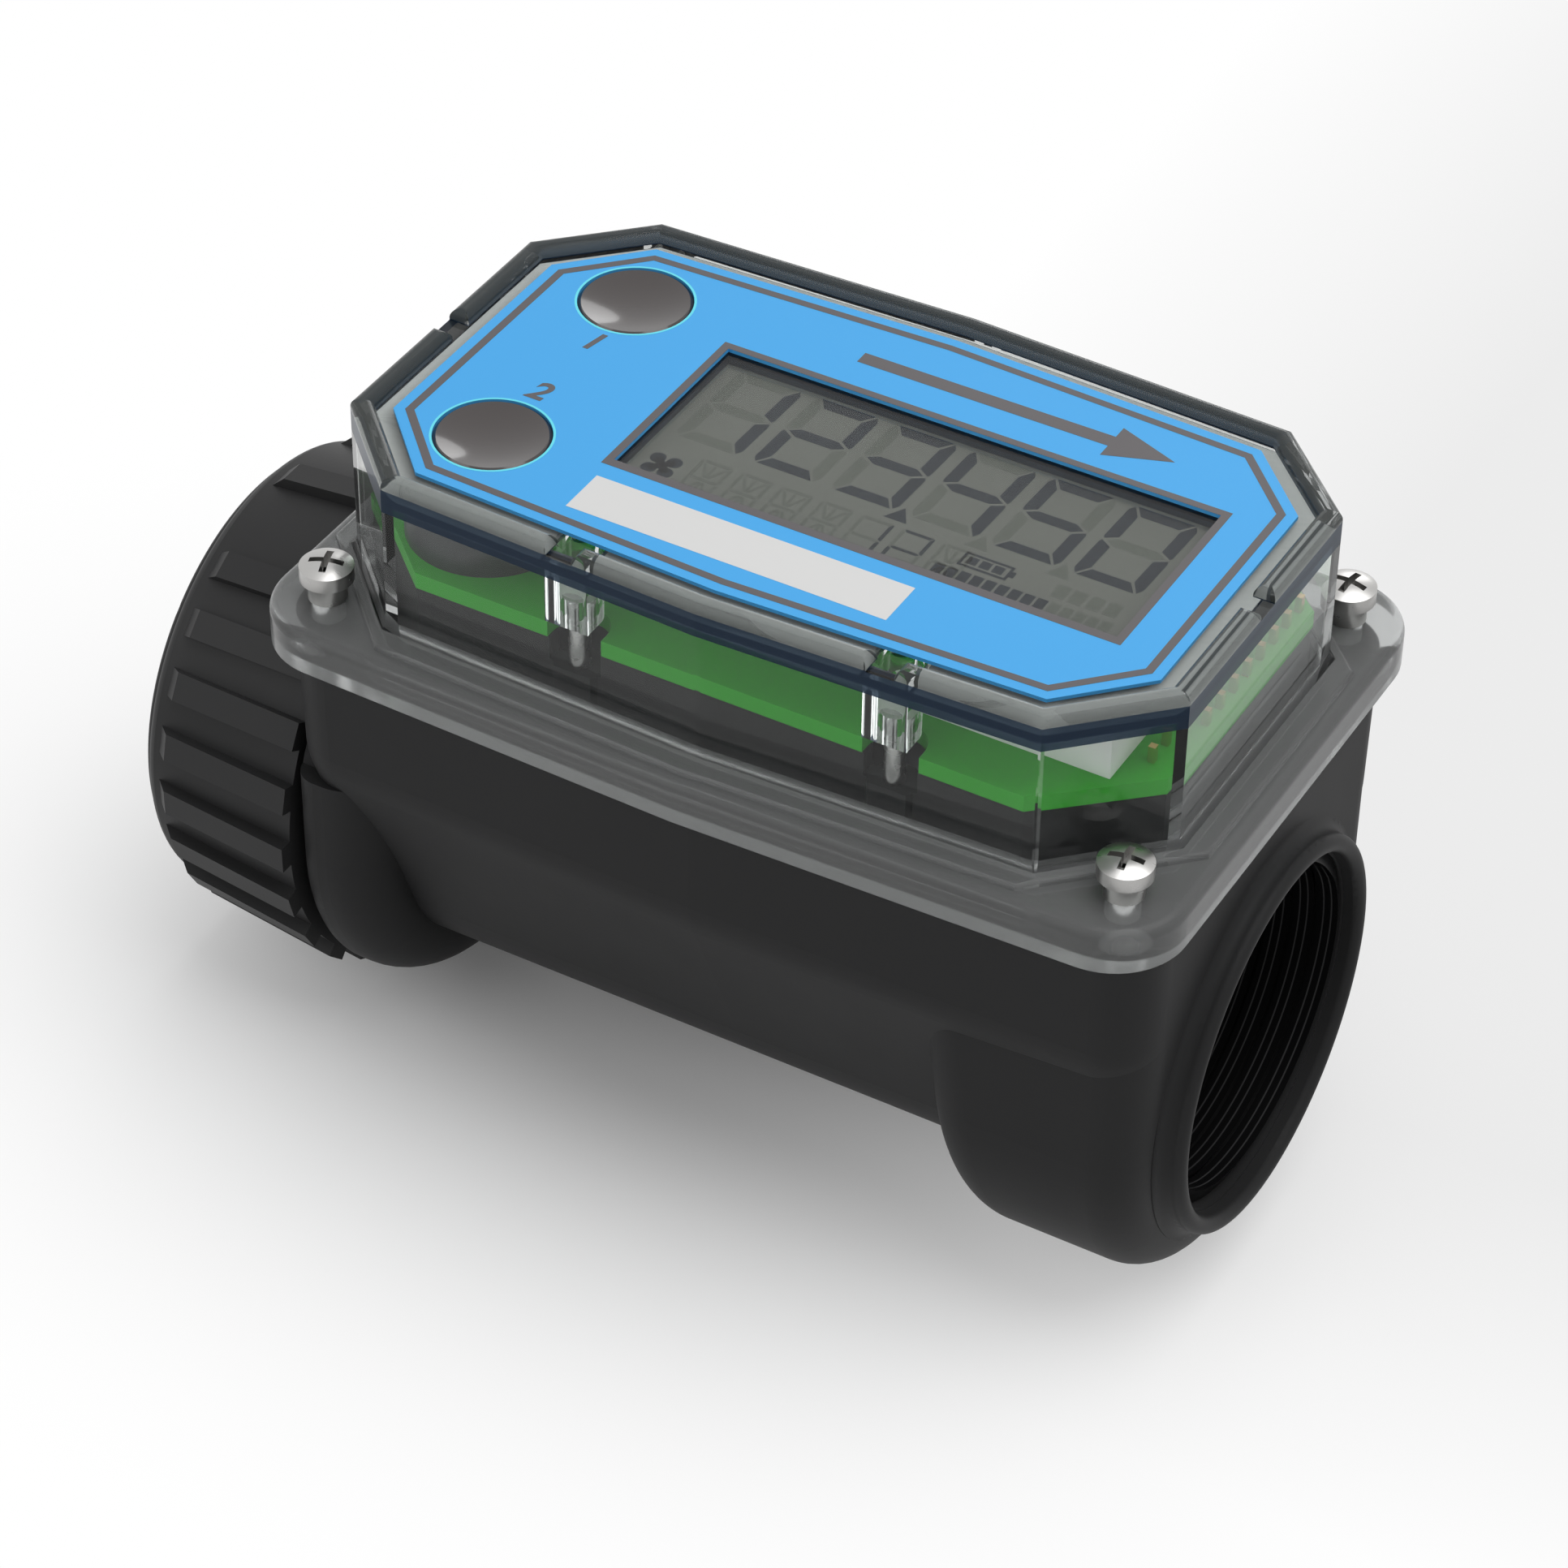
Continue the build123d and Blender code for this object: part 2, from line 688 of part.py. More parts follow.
# Electronics tray: stands in the pocket, carries the board, the cells and the pin cradles
with BuildPart() as electronics_tray:
    with BuildSketch(deck(pocket_floor)):
        Polygon(*board_outline(tray_play), align=None)
    extrude(amount=tray_top - pocket_floor)
    with BuildSketch(deck(pocket_floor + tray_floor)):
        Polygon(*board_outline(tray_play + tray_wall), align=None)
    extrude(amount=tray_top - pocket_floor, mode=Mode.SUBTRACT)
    # Saddles under the cells and end walls behind the contacts
    end_wall_x = cell_len / 2 + nub_len + contact_thick + saddle_thick / 2
    for x in saddle_x:
        with BuildSketch(Plane.YZ.offset(cover_x + x - saddle_thick / 2)):
            with Locations((0, (pocket_floor + cell_axis_z) / 2)):
                Rectangle(2 * (cell_y + cell_r + saddle_side), cell_axis_z - pocket_floor)
            with Locations((-cell_y, cell_axis_z), (cell_y, cell_axis_z)):
                Circle(cell_r + seat_clearance, mode=Mode.SUBTRACT)
        extrude(amount=saddle_thick)
    for side in (-1, 1):
        with BuildSketch(deck(pocket_floor)):
            with Locations((side * end_wall_x, 0)):
                Rectangle(saddle_thick, 2 * (board_half_y - tray_wall))
        extrude(amount=cell_axis_z + cell_r - pocket_floor)
    # Cradles for the locating pins
    with BuildSketch(deck(body_top + tray_play)):
        with Locations(locator_spots):
            Circle(cradle_r)
        with Locations((0, -cover_half_y / 2)):
            front_limit = cover_half_y - cover_wall - slide_clearance
            Rectangle(2 * board_half_x, 2 * (front_limit - cover_half_y / 2), mode=Mode.INTERSECT)
    extrude(amount=locator_foot - body_top - tray_play)
    with BuildSketch(deck(locator_foot)):
        with Locations(locator_spots):
            Circle(cradle_r + cradle_gap)
    extrude(amount=tray_top - locator_foot + 1, mode=Mode.SUBTRACT)
    with BuildSketch(deck(pocket_floor)):
        Circle(bobbin_r + seat_clearance)
    extrude(amount=tray_floor, mode=Mode.SUBTRACT)

# Two dry cells, head to tail
with BuildPart() as one_cell:
    with BuildSketch(Plane.XY):
        with BuildLine():
            half = cell_len / 2
            Polyline(
                (-half, 0),
                (-half, cell_r),
                (half, cell_r),
                (half, nub_r),
                (half + nub_len, nub_r),
                (half + nub_len, 0),
                close=True,
            )
        make_face()
    revolve(axis=Axis.X)
    ends = one_cell.edges().filter_by(GeomType.CIRCLE).filter_by(lambda e: abs(e.radius - cell_r) < 0.01)
    fillet(ends, cell_edge_round)
with BuildPart() as battery_cells:
    with Locations(Location((cover_x, cell_y, cell_axis_z))):
        add(one_cell.part)
    with Locations(Location((cover_x, -cell_y, cell_axis_z), (0, 0, 180))):
        add(one_cell.part)

# Sheet contacts at both ends of each cell, folded flat against the end walls
with BuildPart() as battery_contacts:
    for side in (-1, 1):
        contact_x = cover_x + side * (cell_len / 2 + nub_len + contact_thick / 2)
        with BuildSketch(Plane.YZ.offset(contact_x - contact_thick / 2)):
            with Locations((-cell_y, cell_axis_z), (cell_y, cell_axis_z)):
                RectangleRounded(contact_width, contact_width, contact_corner_r)
        extrude(amount=contact_thick)
        flat_y = -side * cell_y
        spring_x = cover_x + side * (cell_len / 2 + nub_len / 2)
        with BuildSketch(Plane.YZ.offset(spring_x - nub_len / 2)):
            with Locations((flat_y, cell_axis_z)):
                Circle(spring_out_r)
                Circle(spring_in_r, mode=Mode.SUBTRACT)
        extrude(amount=nub_len)

# Pickup: bobbin, winding and magnetic core above the rotor
with BuildPart() as pickup_bobbin:
    with BuildSketch(deck(pickup_floor)):
        Circle(bobbin_tube_r)
    extrude(amount=bobbin_len)
    with BuildSketch(deck(pickup_floor), deck(pickup_floor + bobbin_len - bobbin_rim)):
        Circle(bobbin_r)
    extrude(amount=bobbin_rim)
    with BuildSketch(deck(pickup_floor)):
        Circle(core_r)
    extrude(amount=bobbin_len, mode=Mode.SUBTRACT)
with BuildPart() as pickup_coil:
    with BuildSketch(deck(pickup_floor + bobbin_rim)):
        Circle(coil_r)
        Circle(bobbin_tube_r, mode=Mode.SUBTRACT)
    extrude(amount=bobbin_len - 2 * bobbin_rim)
with BuildPart() as pickup_core:
    with BuildSketch(deck(pickup_floor)):
        Circle(core_r)
    extrude(amount=core_len)


def vanes_and_hub(hub_face, nose_way, shell_face, shell_len):
    """One support: outer sleeve, straight vanes and a hub with a rounded nose.

    hub_face is where the hub faces the rotor, nose_way is +1 or -1 along X, away from it.
    """
    with BuildPart() as support:
        with BuildSketch(Plane.YZ.offset(shell_face)):
            Circle(flow_r - seat_clearance)
            Circle(sleeve_bore_r, mode=Mode.SUBTRACT)
        extrude(amount=nose_way * shell_len)
        with BuildSketch(Plane.XY):
            with BuildLine():
                straight = support_len - nose_len
                nose_base = hub_face + nose_way * straight
                nose_tip = hub_face + nose_way * (support_len - nose_short)
                Line((hub_face, 0), (hub_face, rotor_hub_r))
                Line((hub_face, rotor_hub_r), (nose_base, rotor_hub_r))
                ThreePointArc(
                    (nose_base, rotor_hub_r),
                    (nose_base + nose_bulge_along * (nose_tip - nose_base), rotor_hub_r * nose_bulge_out),
                    (nose_tip, 0),
                )
                Line((nose_tip, 0), (hub_face, 0))
            make_face()
        revolve(axis=Axis.X)
        vane_start = hub_face + nose_way * vane_setback
        with BuildSketch(Plane.YZ.offset(vane_start)):
            with PolarLocations((rotor_hub_r + sleeve_bore_r) / 2, vane_count, start_angle=45):
                Rectangle(sleeve_bore_r - rotor_hub_r + 2 * vane_sink, vane_thick)
        extrude(amount=nose_way * vane_len)
        with BuildSketch(Plane.YZ.offset(hub_face)):
            Circle(shaft_r + running_clearance)
        extrude(amount=nose_way * shaft_seat, mode=Mode.SUBTRACT)
    return support.part


hub_port_face = rotor_port_end + hub_gap
hub_nut_face = rotor_nut_end - hub_gap
with BuildPart() as nut_side_support:
    add(vanes_and_hub(hub_nut_face, -1, sleeve_port_end, sleeve_port_end - cartridge_nut_end))
with BuildPart() as port_side_support:
    add(vanes_and_hub(hub_port_face, 1, sleeve_port_end, support_len))

# Rotor with helical blades
with BuildPart() as rotor:
    with BuildSketch(Plane.YZ.offset(rotor_nut_end)):
        Circle(rotor_hub_r)
    extrude(amount=rotor_len)
    fillet(rotor.edges().filter_by(GeomType.CIRCLE), hub_edge_round)
    blade_mid_r = (rotor_hub_r - blade_sink + rotor_tip_r) / 2
    for i in range(blade_count):
        for k in range(blade_stations):
            share = k / (blade_stations - 1)
            turn = i * 360 / blade_count + share * blade_twist
            station = rotor_nut_end + blade_inset + share * (rotor_len - 2 * blade_inset)
            with BuildSketch(Plane.YZ.offset(station)):
                with PolarLocations(blade_mid_r, 1, start_angle=turn):
                    Rectangle(rotor_tip_r - rotor_hub_r + blade_sink, blade_thick)
        loft()
    with BuildSketch(Plane.YZ.offset(rotor_nut_end)):
        Circle(shaft_r + shaft_room)
    extrude(amount=rotor_len, mode=Mode.SUBTRACT)
    for face_x, way in ((rotor_nut_end, 1), (rotor_port_end, -1)):
        with BuildSketch(Plane.YZ.offset(face_x)):
            Circle(bush_r)
        extrude(amount=way * bush_len, mode=Mode.SUBTRACT)

with BuildPart() as rotor_bushes:
    for face_x, way in ((rotor_nut_end, 1), (rotor_port_end, -1)):
        with BuildSketch(Plane.YZ.offset(face_x)):
            Circle(bush_r)
            Circle(shaft_r + running_clearance, mode=Mode.SUBTRACT)
        extrude(amount=way * bush_len)

with BuildPart() as rotor_shaft:
    with BuildSketch(Plane.YZ.offset(hub_nut_face - shaft_seat + shaft_play)):
        Circle(shaft_r)
    extrude(amount=rotor_len + 2 * hub_gap + 2 * shaft_seat - 2 * shaft_play)
    chamfer(rotor_shaft.edges().filter_by(GeomType.CIRCLE), shaft_chamfer)

# Internal clip that keeps the turbine cartridge in
with BuildPart() as cartridge_clip:
    with BuildSketch(Plane.YZ.offset(cartridge_port_end + seat_clearance)):
        Circle(flow_r + clip_depth - seat_clearance)
        Circle(flow_r + clip_depth - seat_clearance - clip_width, mode=Mode.SUBTRACT)
        with Locations((0, -flow_r)):
            gap_width = 2 * flow_r * math.sin(math.radians(clip_gap_deg / 2))
            Rectangle(gap_width, flow_r, mode=Mode.SUBTRACT)
    extrude(amount=clip_thick)

# Swivel coupling nut: smooth rim, widening skirt and flat-topped grip ribs
with BuildPart() as one_rib:
    with BuildSketch(Plane.XZ):
        Polygon(
            (nut_outer_face + rib_start, nut_band_r - rib_root),
            (nut_outer_face + rib_start, nut_band_r - rib_sink),
            (nut_outer_face + rib_start + rib_ramp, rib_low_r),
            (nut_port_face, nut_rib_r),
            (nut_port_face, nut_root_r - rib_root),
            align=None,
        )
    extrude(amount=rib_width / 2, both=True)
with BuildPart() as coupling_nut:
    with BuildSketch(Plane.XZ):
        with BuildLine():
            rim_x = nut_outer_face + nut_rim_round
            band_x = nut_outer_face + nut_band_len
            Line((nut_outer_face, nut_bore_r), (nut_outer_face, nut_rim_r - nut_rim_round))
            RadiusArc((nut_outer_face, nut_rim_r - nut_rim_round), (rim_x, nut_rim_r), nut_rim_round)
            TangentArc((band_x, nut_band_r), (rim_x, nut_rim_r), tangent=(-1, -0.3))
            Polyline(
                (band_x, nut_band_r),
                (nut_port_face, nut_root_r),
                (nut_port_face, spigot_r + running_clearance),
                (lip_face, spigot_r + running_clearance),
                (lip_face, nut_bore_r + nut_relief),
                (gasket_face, nut_bore_r + nut_relief),
                (gasket_face, nut_bore_r),
                (nut_outer_face, nut_bore_r),
            )
        make_face()
    revolve(axis=Axis.X)
    for i in range(rib_pitch_count):
        if i not in rib_skipped:
            angle = rib_phase_deg + i * 360 / rib_pitch_count
            add(one_rib.part, rotation=(90 - angle, 0, 0))

# Split ring on the spigot that keeps the nut on, and the flat gasket on the spigot's end
ring_r = spigot_r - ring_depth + seat_clearance
with BuildPart() as nut_ring:
    with BuildSketch(Plane.YZ.offset(lip_face - ring_play)):
        Circle(ring_out_r)
        Circle(ring_r, mode=Mode.SUBTRACT)
        with Locations((0, -ring_r)):
            Rectangle(ring_slot, ring_r, mode=Mode.SUBTRACT)
    extrude(amount=-ring_thick)
with BuildPart() as coupling_gasket:
    with BuildSketch(Plane.YZ.offset(spigot_end)):
        Circle(gasket_r)
        Circle(spigot_bore_r, mode=Mode.SUBTRACT)
    extrude(amount=-gasket_thick)

pieces = {
    "meter_body": meter_body,
    "clear_cover": clear_cover,
    "cover_seal": cover_seal,
    "cover_screws": cover_screws,
    "faceplate": faceplate,
    "carrier_plate": carrier_plate,
    "lcd_bezel": lcd_bezel,
    "lcd_panel": lcd_panel,
    "lcd_holder": lcd_holder,
    "circuit_board": circuit_board,
    "header_pins": header_pins,
    "button_housings": button_housings,
    "tact_switches": tact_switches,
    "upper_button": upper_button,
    "lower_button": lower_button,
    "locating_pins": locating_pins,
    "electronics_tray": electronics_tray,
    "battery_cells": battery_cells,
    "battery_contacts": battery_contacts,
    "pickup_bobbin": pickup_bobbin,
    "pickup_coil": pickup_coil,
    "pickup_core": pickup_core,
    "nut_side_support": nut_side_support,
    "port_side_support": port_side_support,
    "rotor": rotor,
    "rotor_bushes": rotor_bushes,
    "rotor_shaft": rotor_shaft,
    "cartridge_clip": cartridge_clip,
    "coupling_nut": coupling_nut,
    "nut_ring": nut_ring,
    "coupling_gasket": coupling_gasket,
}
os.makedirs("parts", exist_ok=True)
for name, piece in pieces.items():
    piece.part.label = name
    export_step(piece.part, f"parts/{name}.step")
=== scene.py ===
"""Turbine flow meter: finishes, threads, print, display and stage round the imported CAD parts.

Lengths are metres in the CAD frame: X along the pipe axis, out of the port, and Z up, out of the display.
"""
import math

import bmesh
import bpy
from mathutils import Matrix, Vector


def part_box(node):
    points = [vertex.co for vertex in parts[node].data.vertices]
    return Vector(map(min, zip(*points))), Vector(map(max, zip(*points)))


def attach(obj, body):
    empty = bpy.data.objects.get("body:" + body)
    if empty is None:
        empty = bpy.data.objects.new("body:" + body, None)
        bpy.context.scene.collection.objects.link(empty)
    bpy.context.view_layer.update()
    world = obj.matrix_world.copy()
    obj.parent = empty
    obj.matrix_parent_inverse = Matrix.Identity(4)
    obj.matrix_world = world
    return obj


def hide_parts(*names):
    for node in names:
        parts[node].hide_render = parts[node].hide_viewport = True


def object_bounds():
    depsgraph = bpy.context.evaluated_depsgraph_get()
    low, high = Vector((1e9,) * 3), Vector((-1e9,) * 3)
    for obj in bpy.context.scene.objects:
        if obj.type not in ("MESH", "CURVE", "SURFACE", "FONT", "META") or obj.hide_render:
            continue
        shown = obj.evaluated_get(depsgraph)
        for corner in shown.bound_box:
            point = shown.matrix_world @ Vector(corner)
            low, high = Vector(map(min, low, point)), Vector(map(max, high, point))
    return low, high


bl_info = {
    "name": "Turbine Flow Meter",
    "version": (1, 0, 0),
    "blender": (4, 5, 0),
    "location": "3D View > Sidebar > Flow Meter",
    "description": "Finishes, threads, print and display of a turbine flow meter",
    "category": "Object",
}

MM = 0.001
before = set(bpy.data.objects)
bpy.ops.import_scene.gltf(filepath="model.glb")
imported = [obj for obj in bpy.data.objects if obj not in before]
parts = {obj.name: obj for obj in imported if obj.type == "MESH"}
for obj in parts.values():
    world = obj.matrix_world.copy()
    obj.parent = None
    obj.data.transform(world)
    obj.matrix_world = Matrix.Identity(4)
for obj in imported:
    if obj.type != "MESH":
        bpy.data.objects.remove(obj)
cad_low, cad_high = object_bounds()


def middle(name):
    """Centre of a CAD part's box."""
    low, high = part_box(name)
    return (low + high) / 2


# Places that the CAD parts give
cover_x = middle("faceplate").x
deck_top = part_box("faceplate")[0].z
label_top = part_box("faceplate")[1].z
lcd_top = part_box("lcd_panel")[1].z
nut_outer_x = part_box("coupling_nut")[0].x
gasket_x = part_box("coupling_gasket")[0].x


# Kinds of properties
def metres(name, description, default):
    """A length."""
    return bpy.props.FloatProperty(name=name, description=description, default=default, unit="LENGTH")


def position(name, description, default):
    """A place, with as many lengths as its default."""
    return bpy.props.FloatVectorProperty(
        name=name, description=description, default=default, size=len(default), unit="LENGTH"
    )


def tint(name, description, default):
    """A colour as linear red, green and blue."""
    return bpy.props.FloatVectorProperty(name=name, description=description, default=default, subtype="COLOR")


# Sizes and colours that a user would change
class ThreadSizes(bpy.types.PropertyGroup):
    """Pipe thread in the port and in the nut"""

    root_r: metres("Root radius", "Radius of the bore that the ridges stand on", 16.6 * MM)
    crest_r: metres("Crest radius", "Radius that the ridges reach inwards", 15.15 * MM)
    pitch: metres("Pitch", "Distance from one ridge to the next", 2.309 * MM)
    crest_flat: metres("Crest flat", "Width of a ridge's flat top", 0.75 * MM)
    root_flat: metres("Root flat", "Width of the groove's floor", 0.3 * MM)
    port_length: metres("Port thread length", "Length of thread in the port", 14.4 * MM)
    steps: bpy.props.IntProperty(
        name="Steps a turn", description="Segments in one turn of the thread", default=96, min=24
    )


class PrintSizes(bpy.types.PropertyGroup):
    """Print on the faceplate, and the painted highlight round the buttons, measured from the faceplate's
    centre
    """

    band_inset: metres("Band inset", "Distance of the dark band from the edge", 0.95 * MM)
    band_width: metres("Band width", "Width of the dark band", 0.75 * MM)
    frame_width: metres("Window frame width", "Width of the frame at the window", 0.75 * MM)
    frame_front: metres("Window frame front width", "Width of the frame at the front", 0.9 * MM)
    strip_low: position("Strip corner", "Low corner of the white strip", (-16.65 * MM, -17.3 * MM))
    strip_high: position("Strip far corner", "High corner of the white strip", (14.0 * MM, -12.3 * MM))
    rim_width: metres("Button rim width", "Width of the pale rim at each button", 0.22 * MM)
    ink_rise: metres("Ink height", "Height of the raised print", 0.02 * MM)
    legend_size: metres("Legend size", "Height of the button legends", 3.6 * MM)


class DisplaySizes(bpy.types.PropertyGroup):
    """Segments of the display, measured from the faceplate's centre"""

    reading: bpy.props.StringProperty(
        name="Reading", description="Digits that the display shows", default="123450"
    )
    small_reading: bpy.props.StringProperty(
        name="Small reading", description="Digits that the lower row shows", default="    12 "
    )
    first_digit: position("First digit", "Low left corner of the first digit", (-15.4 * MM, -1.8 * MM))
    digit_pitch: metres("Digit pitch", "Distance between digits", 7.67 * MM)
    digit_width: metres("Digit width", "Width of a digit", 6.45 * MM)
    digit_height: metres("Digit height", "Height of a digit", 11.0 * MM)
    stroke: metres("Stroke", "Width of a segment", 1.22 * MM)
    gap: metres("Gap", "Gap between segments", 0.2 * MM)
    slant: bpy.props.FloatProperty(name="Slant", description="Lean of the digits, as a slope", default=0.025)
    film: metres("Film height", "Height of the segments over the panel", 0.01 * MM)


class ScrewSizes(bpy.types.PropertyGroup):
    """Four cover screws"""

    head_r: metres("Head radius", "Radius of the head", 2.42 * MM)
    head_len: metres("Head height", "Height of the head", 1.9 * MM)
    crown: metres("Crown", "Rise of the head's top", 0.55 * MM)
    neck_r: metres("Shoulder radius", "Radius of the shoulder", 1.75 * MM)
    neck_len: metres("Shoulder length", "Length of the shoulder", 2.0 * MM)
    shank_r: metres("Shank radius", "Radius of the shank", 1.25 * MM)
    slot_len: metres("Recess length", "Length of the cross recess", 3.1 * MM)
    slot_width: metres("Recess width", "Width of the cross recess", 0.62 * MM)
    slot_depth: metres("Recess depth", "Depth of the cross recess", 1.1 * MM)


class MeterColours(bpy.types.PropertyGroup):
    """Colours of the finishes"""

    label: tint("Label", "Blue of the faceplate", (0.068, 0.392, 0.807))
    ink: tint("Ink", "Dark print", (0.075, 0.068, 0.072))
    strip: tint("Strip", "White strip", (0.66, 0.66, 0.655))
    # Pale rim: stands in for a clear collar round each button hole, coloured with a painted highlight of the
    # label's refraction
    rim: tint("Rim", "Pale rim at the buttons", (0.12, 0.72, 0.85))
    nylon: tint("Nylon", "Black moulded parts", (0.0245, 0.0245, 0.025))
    nut: tint("Nut", "Coupling nut", (0.023, 0.023, 0.0235))
    board: tint("Board", "Lacquered board", (0.045, 0.36, 0.035))
    panel: tint("Panel", "Display panel", (0.09, 0.091, 0.08))
    segment: tint("Segment", "Dark display segments", (0.008, 0.011, 0.016))
    ghost: tint("Ghost", "Unlit display segments", (0.066, 0.07, 0.058))
    steel: tint("Steel", "Screws and pins", (0.44, 0.435, 0.425))
    cap: tint("Button cap", "Button caps", (0.042, 0.034, 0.033))


class StageSizes(bpy.types.PropertyGroup):
    """Camera and light"""

    camera_place: position("Camera place", "Where the camera stands", (0.12318, -0.30501, 0.29655))
    camera_turn: bpy.props.FloatVectorProperty(
        name="Camera angles",
        description="Azimuth, elevation and roll in degrees",
        size=3,
        default=(29.3, 39.557, 0.888),
    )
    lens: bpy.props.FloatProperty(
        name="Lens", description="Focal length on a 36 mm sensor", default=115.82, unit="CAMERA"
    )
    backdrop: bpy.props.FloatProperty(
        name="Backdrop", description="Brightness of the background", default=1.0
    )


# Nodes
class Socket:
    """A node's output with arithmetic, so that masks and sizes are written as expressions."""

    def __init__(self, tree, output):
        self.tree = tree
        self.output = output

    def math(self, operation, *values):
        return node(self.tree, "ShaderNodeMath", {"operation": operation}, [self, *values])

    def __add__(self, other):
        return self.math("ADD", other)

    __radd__ = __add__

    def __mul__(self, other):
        return self.math("MULTIPLY", other)

    __rmul__ = __mul__

    def __sub__(self, other):
        return self.math("SUBTRACT", other)

    def __rsub__(self, other):
        return (self * -1.0) + other

    def __truediv__(self, other):
        return self.math("DIVIDE", other)

    def __pow__(self, other):
        return self.math("POWER", other)

    def __abs__(self):
        return self.math("ABSOLUTE")

    def below(self, other):
        return self.math("LESS_THAN", other)

    def above(self, other):
        return self.math("GREATER_THAN", other)

    def most(self, other):
        return self.math("MAXIMUM", other)

    def least(self, other):
        return self.math("MINIMUM", other)


def node(tree, kind, settings=None, values=(), out=0):
    """Adds a node: its settings, then its sockets' values or links. A list gives one socket several links."""
    made = tree.nodes.new(kind)
    for name, value in (settings or {}).items():
        setattr(made, name, value)
    pairs = values.items() if isinstance(values, dict) else enumerate(values)
    for key, value in pairs:
        for one in value if isinstance(value, list) else [value]:
            if isinstance(one, Socket):
                tree.links.new(one.output, made.inputs[key])
            else:
                made.inputs[key].default_value = one
    return Socket(tree, made.outputs[out])


def feed(target, key, value):
    """Links a value to a node's socket."""
    value.tree.links.new(value.output, target.inputs[key])


def split(vector):
    """X, Y and Z of a vector."""
    made = node(vector.tree, "ShaderNodeSeparateXYZ", {}, [vector])
    return [Socket(vector.tree, output) for output in made.output.node.outputs]


def join(tree, x, y, z):
    """A vector from X, Y and Z."""
    return node(tree, "ShaderNodeCombineXYZ", {}, [x, y, z])


def mix(share, first, second):
    """Colour mix by a mask. The Mix node's colours are its inputs 6 and 7 and its output 2."""
    first, second = (c if isinstance(c, Socket) else (*c, 1.0) for c in (first, second))
    return node(share.tree, "ShaderNodeMix", {"data_type": "RGBA"}, {0: share, 6: first, 7: second}, 2)


def ramp(value, low, high, kind="LINEAR"):
    """0 to 1 as a value goes from low to high."""
    limits = {"Value": value, "From Min": low, "From Max": high}
    return node(value.tree, "ShaderNodeMapRange", {"interpolation_type": kind}, limits)


def background_rays(tree):
    """1 for the rays that see the background: camera, glossy and transmission rays."""
    kinds = ("Is Camera Ray", "Is Glossy Ray", "Is Transmission Ray")
    camera, glossy, through = [node(tree, "ShaderNodeLightPath", out=kind) for kind in kinds]
    return camera.most(glossy).most(through)


# Finishes
def finish(name, colour, roughness=0.5, metallic=0.0, **constants):
    """A new material with a Principled shader; returns the material and its shader."""
    material = bpy.data.materials.new(name)
    material.use_nodes = True
    material.diffuse_color = (*colour, 1.0)
    shader = material.node_tree.nodes["Principled BSDF"]
    shader.inputs["Base Color"].default_value = (*colour, 1.0)
    shader.inputs["Roughness"].default_value = roughness
    shader.inputs["Metallic"].default_value = metallic
    for key, value in constants.items():
        shader.inputs[key.replace("_", " ")].default_value = value
    return material, shader


def place(material):
    """Object coordinates, and their X, Y and Z."""
    coords = node(material.node_tree, "ShaderNodeTexCoord", out="Object")
    return coords, split(coords)


def noise(coords, scale, detail=2.0):
    """Noise value over the coordinates."""
    return node(coords.tree, "ShaderNodeTexNoise", {}, {"Vector": coords, "Scale": scale, "Detail": detail})


def grain(shader, coords, strength):
    """Fine bumps of a moulded face."""
    bumps = {"Strength": strength, "Distance": 0.02 * MM, "Height": noise(coords, 2600.0)}
    feed(shader, "Normal", node(coords.tree, "ShaderNodeBump", {}, bumps))


def moulded(name, colour, roughness, grain_strength=0.25, **constants):
    """Moulded plastic: a fine grain, and a roughness that wanders a little."""
    material, shader = finish(name, colour, roughness, **constants)
    coords, _ = place(material)
    wander = 0.1
    feed(shader, "Roughness", noise(coords, 90.0, 3.0) * wander + (roughness - wander / 2))
    grain(shader, coords, grain_strength)
    return material


def metal(name, colour, roughness, scale=1400.0):
    """Turned metal: fine streaks along X and a wandering roughness."""
    material, shader = finish(name, colour, roughness, 1.0)
    _, (x, y, z) = place(material)
    wander, stretch = 0.16, 0.15
    streaks = noise(join(x.tree, x * stretch, y, z), scale)
    feed(shader, "Roughness", streaks * wander + (roughness - wander / 2))
    return material


def paint(material, *objs):
    """Gives the objects one material."""
    for obj in objs:
        obj.data.materials.clear()
        obj.data.materials.append(material)


def dress(material, *names):
    """Gives CAD parts one material."""
    paint(material, *[parts[name] for name in names])


# Shapes
def add_object(name, data):
    """A new object at the origin."""
    obj = bpy.data.objects.new(name, data)
    bpy.context.scene.collection.objects.link(obj)
    return obj


def mesh_object(name, points, faces):
    """A mesh object at the origin."""
    mesh = bpy.data.meshes.new(name)
    mesh.from_pydata([tuple(p) for p in points], [], faces)
    mesh.validate()
    return add_object(name, mesh)


def smooth(obj, angle):
    """Smooth shading across edges below the angle."""
    obj.data.shade_smooth()
    obj.data.set_sharp_from_angle(angle=math.radians(angle))


def outward(obj):
    """Merges doubles and turns the faces outwards."""
    work = bmesh.new()
    work.from_mesh(obj.data)
    bmesh.ops.remove_doubles(work, verts=work.verts, dist=1e-7)
    bmesh.ops.recalc_face_normals(work, faces=work.faces)
    work.to_mesh(obj.data)
    work.free()


